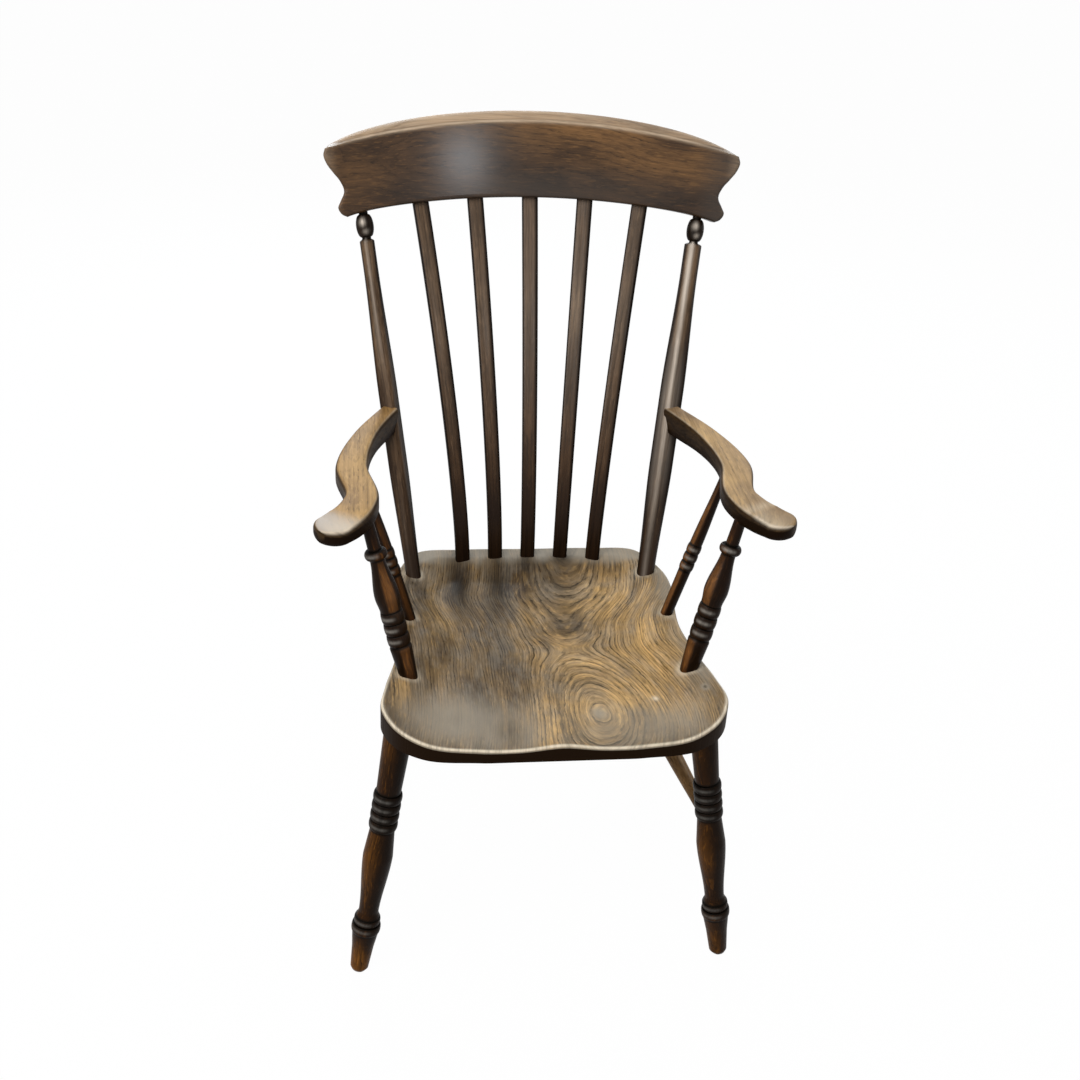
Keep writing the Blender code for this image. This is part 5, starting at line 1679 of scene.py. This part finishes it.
def old_polish() -> bpy.types.NodeTree:
    """Group for coloured, worn and dirty polish over a figure, with painted light and shade laid in.

    Body and light drift into each other, glow, partly painted light, is laid over them by its mark and a film
    of patina in patches; rings, pores and fibres darken that; patina, in places painted sheen, the dark of
    the shade attribute, mostly painted shade, then dirty colour and painted shade where its mark is strong,
    and then worn places and painted highlights cover it, broken up by the figure. The clear coat is gone
    where that dark lies fully or wood is bare.

    Returns:
        The group.
    """
    number, vector, colour = SocketKind.NUMBER, SocketKind.VECTOR, SocketKind.COLOUR
    graph, given, out = new_group(
        "old_polish",
        {
            **{name: colour for name in ("Body", "Light", "Dark", "Glow", "Patina", "Grime", "Wear")},
            **{name: number for name in FIGURES},
            **{name: number for name in ("Ring Depth", "Streak", "Film", "Base Roughness", "Coat Level")},
            "Marks": vector, "Shade": number,
        },
        {"Color": colour, "Roughness": number, "Coat": number, "Height": number},
    )
    wear, grime, glow = graph.parts(given["Marks"])
    drift, fibres, rings, pores = given["Drift"], given["Fibres"], given["Rings"], given["Pores"]
    base = graph.mix(graph.ramp(drift, 0.40, 0.60), given["Body"], given["Light"])
    patchy = graph.ramp(graph.plus(drift, graph.times(fibres, 0.5)), 0.50, 0.92, 0.35, 1.0)
    base = graph.mix(graph.times(glow, patchy, clamp=True), base, given["Glow"])
    lit = graph.times(given["Flecks"], graph.math("MULTIPLY_ADD", glow, 0.55, 0.24), clamp=True)
    base = graph.mix(lit, base, given["Glow"])
    film = graph.times(graph.ramp(given["Mottle"], 0.38, 0.68), given["Film"])
    base = graph.mix(film, base, given["Patina"])
    base = graph.mix(graph.times(rings, given["Ring Depth"], clamp=True), base, given["Dark"])
    streak = graph.times(graph.minus(fibres, 0.5), given["Streak"])
    streak = graph.plus(streak, 1.0)
    grey = graph.node("ShaderNodeCombineColor", {0: streak, 1: streak, 2: streak}).outputs[0]
    base = graph.mix(1.0, base, grey, "MULTIPLY")
    open_pores = graph.times(pores, graph.math("MULTIPLY_ADD", given["Ring Depth"], 0.35, 0.35))
    base = graph.mix(open_pores, base, given["Dark"])
    dirt_and_shade = graph.times(grime, graph.ramp(fibres, 0.30, 0.62, 1.0, 0.78))
    dirt_and_shade = graph.math("MAXIMUM", dirt_and_shade, graph.math("MULTIPLY_ADD", grime, 2.0, -1.0), clamp=True)
    clear = graph.minus(1.0, given["Shade"])
    # patina where the mark is weak, in places painted sheen
    base = graph.mix(graph.times(graph.ramp(dirt_and_shade, 0.0, 0.48, 0.0, 0.82), clear), base, given["Patina"])
    # the shade attribute lays painted shade and darker places
    shaded = graph.times(given["Shade"], graph.ramp(fibres, 0.35, 0.65, 1.0, 0.88))
    base = graph.mix(shaded, base, given["Dark"])
    caked_and_shaded = graph.ramp(dirt_and_shade, 0.40, 0.95)
    base = graph.mix(caked_and_shaded, base, given["Grime"])
    coat = graph.times(graph.minus(1.0, caked_and_shaded), given["Coat Level"], clamp=True)
    coat = graph.times(coat, graph.ramp(wear, 0.12, 0.40, 1.0, 0.0))
    # worn pale places and painted highlights
    rubbed = graph.times(wear, graph.ramp(fibres, 0.34, 0.60, 0.55, 1.0), clamp=True)
    base = graph.mix(rubbed, base, given["Wear"])
    rough = graph.plus(given["Base Roughness"], graph.times(graph.minus(drift, 0.5), 0.22))
    rough = graph.plus(rough, graph.times(rings, 0.10))
    rough = graph.plus(rough, graph.times(rubbed, 0.06), clamp=True)
    height = graph.minus(graph.times(fibres, 0.35), graph.times(rings, 0.30))
    height = graph.minus(height, graph.times(pores, 0.45))
    graph.feed(out["Color"], base)
    graph.feed(out["Roughness"], rough)
    graph.feed(out["Coat"], coat)
    graph.feed(out["Height"], height)
    return graph.tree


@dataclass(frozen=True)
class WoodFinish:
    """One wood with its polish, colours as shown on a display."""

    slot: str
    body: Colour
    light: Colour
    dark: Colour
    glow: Colour
    patina: Colour
    grime: Colour
    wear: Colour
    ring_spacing: float = 0.005
    waver: float = 0.004
    ring_depth: float = 0.7
    streak: float = 0.8
    film: float = 0.0
    roughness: float = 0.40
    gloss: float = 0.03
    coat: float = 0.1
    coat_roughness: float = 0.25
    bump: float = 0.0003

    def material(self, figure: bpy.types.NodeTree, polish: bpy.types.NodeTree) -> bpy.types.Material:
        """Material of the finish.

        Args:
            figure: The timber figure group.
            polish: The old polish group.

        Returns:
            The material.
        """
        material = bpy.data.materials.new(f"{self.slot}_polished")
        material.use_nodes = True
        graph = Graph(material.node_tree)
        shader = material.node_tree.nodes["Principled BSDF"]
        inputs = {"Grain": graph.attribute("grain"), "Spacing": self.ring_spacing, "Waver": self.waver}
        timber = graph.node("ShaderNodeGroup", node_tree=figure)
        for name, value in inputs.items():
            graph.feed(timber.inputs[name], value)
        coat = graph.node("ShaderNodeGroup", node_tree=polish)
        colours = {
            "Body": self.body, "Light": self.light, "Dark": self.dark,
            "Glow": self.glow, "Patina": self.patina, "Grime": self.grime, "Wear": self.wear,
        }
        numbers = {
            "Ring Depth": self.ring_depth, "Streak": self.streak, "Film": self.film,
            "Base Roughness": self.roughness, "Coat Level": self.coat,
        }
        figures = {name: timber.outputs[name] for name in FIGURES}
        points = {"Marks": graph.attribute("marks"), "Shade": graph.attribute("shade", "Fac")}
        for name, value in {**colours, **numbers, **figures, **points}.items():
            graph.feed(coat.inputs[name], value)
        bumped = graph.node("ShaderNodeBump", {"Distance": self.bump, "Height": coat.outputs["Height"]})
        graph.feed(shader.inputs["Base Color"], coat.outputs["Color"])
        graph.feed(shader.inputs["Roughness"], coat.outputs["Roughness"])
        graph.feed(shader.inputs["Coat Weight"], coat.outputs["Coat"])
        graph.feed(shader.inputs["Normal"], bumped.outputs[0])
        shader.inputs["Coat Roughness"].default_value = self.coat_roughness
        shader.inputs["Specular IOR Level"].default_value = self.gloss
        return material


FINISHES = (
    # seat: the grey patina is partly painted sheen
    WoodFinish(
        "seat_wood", body=srgb(86, 68, 46), light=srgb(134, 109, 75), dark=srgb(30, 23, 16),
        glow=srgb(222, 178, 112), patina=srgb(154, 144, 128), grime=srgb(32, 19, 7), wear=srgb(238, 224, 200),
        ring_spacing=0.0056, waver=0.0052, ring_depth=1.0, streak=2.4, film=0.40,
        roughness=0.50, coat=0.10, coat_roughness=0.45,
    ),
    # legs: the grey worn colour is mostly painted highlight on the beads' crowns
    WoodFinish(
        "leg_wood", body=srgb(46, 26, 9), light=srgb(60, 35, 13), dark=srgb(16, 8, 3),
        glow=srgb(150, 96, 36), patina=srgb(26, 15, 6), grime=srgb(10, 7, 4), wear=srgb(150, 146, 140),
        ring_depth=0.5, roughness=0.35, coat=0.06,
    ),
    WoodFinish(
        "stretcher_wood", body=srgb(104, 76, 46), light=srgb(134, 100, 62), dark=srgb(60, 40, 24),
        glow=srgb(156, 120, 78), patina=srgb(64, 44, 28), grime=srgb(30, 19, 11), wear=srgb(190, 160, 120),
        ring_depth=0.45, roughness=0.42,
    ),
    # crest: the cream worn colour is partly painted highlight and light on the top, the grey patina partly
    # painted sheen
    WoodFinish(
        "crest_wood", body=srgb(56, 39, 26), light=srgb(78, 56, 37), dark=srgb(24, 15, 9),
        glow=srgb(136, 98, 58), patina=srgb(66, 58, 52), grime=srgb(34, 28, 25), wear=srgb(222, 198, 170),
        ring_depth=0.60, roughness=0.40, coat=0.38, coat_roughness=0.16,
    ),
    # laths and posts: the pale worn colour is painted grey sheen and highlight streaks
    WoodFinish(
        "back_wood", body=srgb(58, 38, 21), light=srgb(80, 55, 33), dark=srgb(22, 13, 7),
        glow=srgb(126, 102, 78), patina=srgb(32, 19, 10), grime=srgb(11, 7, 4), wear=srgb(228, 215, 200),
        ring_depth=0.6, streak=1.2, roughness=0.38, coat=0.16, coat_roughness=0.22,
    ),
    # arms: the grey patina is partly painted sheen on the left hand, the cream worn colour partly painted
    # highlight
    WoodFinish(
        "arm_wood", body=srgb(112, 82, 46), light=srgb(146, 111, 66), dark=srgb(24, 14, 7),
        glow=srgb(186, 148, 92), patina=srgb(190, 184, 178), grime=srgb(26, 15, 6), wear=srgb(236, 222, 200),
        ring_spacing=0.0036, waver=0.003, ring_depth=0.28, streak=1.2,
        roughness=0.46, coat=0.05, coat_roughness=0.40,
    ),
    # supports and spindles: the grey worn colour is painted highlight on crowns and lit strips
    WoodFinish(
        "support_wood", body=srgb(48, 27, 11), light=srgb(62, 36, 15), dark=srgb(18, 9, 4),
        glow=srgb(152, 96, 38), patina=srgb(24, 14, 7), grime=srgb(10, 7, 4), wear=srgb(160, 154, 146),
        ring_depth=0.5, roughness=0.34, coat=0.08,
    ),
)


# Studio


@dataclass(frozen=True)
class Softbox:
    """Area lamp: its place, what it faces, its size and its power."""

    name: str
    place: Point
    target: Point
    size: tuple[float, float]
    power: float
    colour: Colour = (1.0, 1.0, 1.0)

    def build(self) -> bpy.types.Object:
        """Adds the lamp, unseen by the camera itself.

        Returns:
            The lamp.
        """
        lamp = bpy.data.lights.new(self.name, "AREA")
        lamp.shape = "RECTANGLE"
        lamp.size, lamp.size_y = self.size
        lamp.energy = self.power
        lamp.color = self.colour
        shown = bpy.data.objects.new(self.name, lamp)
        back = unit(np.asarray(self.place, float) - self.target)
        right = unit(np.cross((0.0, 0.001, 1.0), back))
        turned_to = np.column_stack([right, np.cross(back, right), back])
        shown.matrix_world = Matrix.Translation(self.place) @ Matrix(turned_to.tolist()).to_4x4()
        shown.visible_camera = False
        bpy.context.scene.collection.objects.link(shown)
        return shown


@dataclass
class Studio:
    """White floor and sky, soft lamps, and the camera at the photograph's angle."""

    camera_place: tuple[float, float, float] = (-0.23688, -1.70082, 1.50454)
    yaw: float = 0.139599
    pitch: float = 0.517028
    roll: float = -0.056561
    focal_pixels: float = 1419.34
    image_pixels: float = 1080.0
    sensor: float = 36.0
    floor_size: float = 60.0
    floor_drop: float = 0.0004
    floor_albedo: float = 0.35
    floor_shown_albedo: float = 0.90
    floor_own_white: float = 0.98
    sky_light: float = 0.16
    lamps: Sequence[Softbox] = field(default_factory=lambda: (
        Softbox("ceiling_softbox", (-0.5, -1.0, 3.0), (0.0, 0.0, 0.5), (1.8, 1.8), 38.0),
        Softbox("left_softbox", (-2.6, -1.7, 2.2), (0.0, 0.0, 0.6), (2.0, 2.0), 40.0, (1.0, 0.97, 0.93)),
        Softbox("left_strip", (-1.5, -1.9, 1.5), (0.0, -0.2, 0.4), (0.12, 0.60), 5.0, (0.92, 0.96, 1.0)),
        Softbox("rear_softbox", (-0.35, 2.8, 2.0), (0.0, 0.0, 0.45), (1.4, 1.4), 60.0, (0.84, 0.93, 1.0)),
        Softbox("right_rear_softbox", (1.6, 2.6, 2.1), (0.0, 0.0, 0.45), (1.0, 1.2), 20.0, (0.88, 0.95, 1.0)),
        Softbox("right_softbox", (2.3, 0.4, 1.5), (0.0, 0.0, 0.5), (1.6, 1.6), 8.0),
        Softbox("front_strip", (0.57, -1.74, 1.62), (-0.07, 0.25, 1.0), (0.18, 0.08), 1.8, (0.92, 0.96, 1.0)),
    ))

    def white_to_lens(self, graph: Graph) -> Socket:
        """1 for rays that come from the camera, a mirror or glass, where the background shows white."""
        path = graph.node("ShaderNodeLightPath").outputs
        seen = graph.math("MAXIMUM", path["Is Camera Ray"], path["Is Glossy Ray"])
        return graph.math("MAXIMUM", seen, path["Is Transmission Ray"])

    def sky(self) -> None:
        """White to the camera, and an even light of its own strength to the wood."""
        world = bpy.data.worlds.new("studio_sky")
        world.use_nodes = True
        graph = Graph(world.node_tree)
        background = world.node_tree.nodes["Background"]
        strength = graph.node(
            "ShaderNodeMapRange", {0: self.white_to_lens(graph), 1: 0.0, 2: 1.0, 3: self.sky_light, 4: 1.0}
        )
        background.inputs["Color"].default_value = (1.0, 1.0, 1.0, 1.0)
        graph.feed(background.inputs["Strength"], strength.outputs[0])
        bpy.context.scene.world = world

    def floor(self) -> bpy.types.Object:
        """Pale floor that keeps the shadow: its lit colour mixed with white of its own for the camera.

        From below it is clear, so that the underside shows.

        Returns:
            The floor.
        """
        half = self.floor_size / 2
        corners = np.array([(-half, -half), (half, -half), (half, half), (-half, half)])
        points = np.column_stack([corners, np.full(4, -self.floor_drop)])
        mesh = bpy.data.meshes.new("studio_floor")
        mesh.from_pydata(points.tolist(), [], [(0, 1, 2, 3)])
        floor = bpy.data.objects.new("studio_floor", mesh)
        material = bpy.data.materials.new("white_floor")
        material.use_nodes = True
        tree = material.node_tree
        tree.nodes.clear()
        graph = Graph(tree)
        seen = self.white_to_lens(graph)
        lit, shown = ((albedo,) * 3 + (1.0,) for albedo in (self.floor_albedo, self.floor_shown_albedo))
        matt = graph.node("ShaderNodeBsdfDiffuse", {"Color": graph.mix(seen, lit, shown)})
        glow = graph.node("ShaderNodeEmission", {"Color": (1.0, 1.0, 1.0), "Strength": 1.0})
        share = graph.times(seen, self.floor_own_white)
        mixed = graph.node("ShaderNodeMixShader", {0: share, 1: matt.outputs[0], 2: glow.outputs[0]})
        below = graph.node("ShaderNodeNewGeometry").outputs["Backfacing"]
        clear = graph.node("ShaderNodeBsdfTransparent")
        sided = graph.node("ShaderNodeMixShader", {0: below, 1: mixed.outputs[0], 2: clear.outputs[0]})
        graph.node("ShaderNodeOutputMaterial", {"Surface": sided.outputs[0]})
        mesh.materials.append(material)
        bpy.context.scene.collection.objects.link(floor)
        floor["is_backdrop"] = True
        return floor

    def camera(self) -> bpy.types.Object:
        """Camera turned by yaw, then pitch down, then roll.

        Returns:
            The camera.
        """
        flat = math.cos(self.pitch)
        ahead = np.array((math.sin(self.yaw) * flat, math.cos(self.yaw) * flat, -math.sin(self.pitch)))
        level = np.array((math.cos(self.yaw), -math.sin(self.yaw), 0.0))
        below = np.cross(ahead, level)
        right = math.cos(self.roll) * level + math.sin(self.roll) * below
        down = -math.sin(self.roll) * level + math.cos(self.roll) * below
        lens = bpy.data.cameras.new("photograph_camera")
        lens.sensor_width = self.sensor
        lens.lens = self.focal_pixels * self.sensor / self.image_pixels
        camera = bpy.data.objects.new("photograph_camera", lens)
        turned_to = Matrix(np.column_stack([right, -down, -ahead]).tolist()).to_4x4()
        camera.matrix_world = Matrix.Translation(self.camera_place) @ turned_to
        bpy.context.scene.collection.objects.link(camera)
        bpy.context.scene.camera = camera
        return camera

    def build(self) -> None:
        """Adds the sky, the floor, the lamps and the camera."""
        bpy.context.scene.view_settings.view_transform = "Standard"
        self.sky()
        self.floor()
        for lamp in self.lamps:
            lamp.build()
        self.camera()


def write_sizes() -> None:
    """Rounds the frame's box and the shown object's box into a table, which is not kept."""
    boxes = {
        name: [[round(value, 6) for value in corner] for corner in box]
        for name, box in (("cad", CAD_BOX), ("visual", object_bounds()))
    }


def main() -> None:
    """Builds the finishes, the sub-assemblies in order, and the studio."""
    logging.basicConfig(level=logging.INFO, format="%(name)s: %(message)s")
    figure, polish = timber_figure(), old_polish()
    materials = {finish.slot: finish.material(figure, polish) for finish in FINISHES}
    seat = Seat()
    back = Back(seat)
    for group in (seat, Base(seat), back, Arms(seat, back)):
        shown = group.build(materials)
        LOG.info("%s: %d pieces", type(group).__name__, len(shown))
    Studio().build()
    write_sizes()


if __name__ == "__main__":
    main()
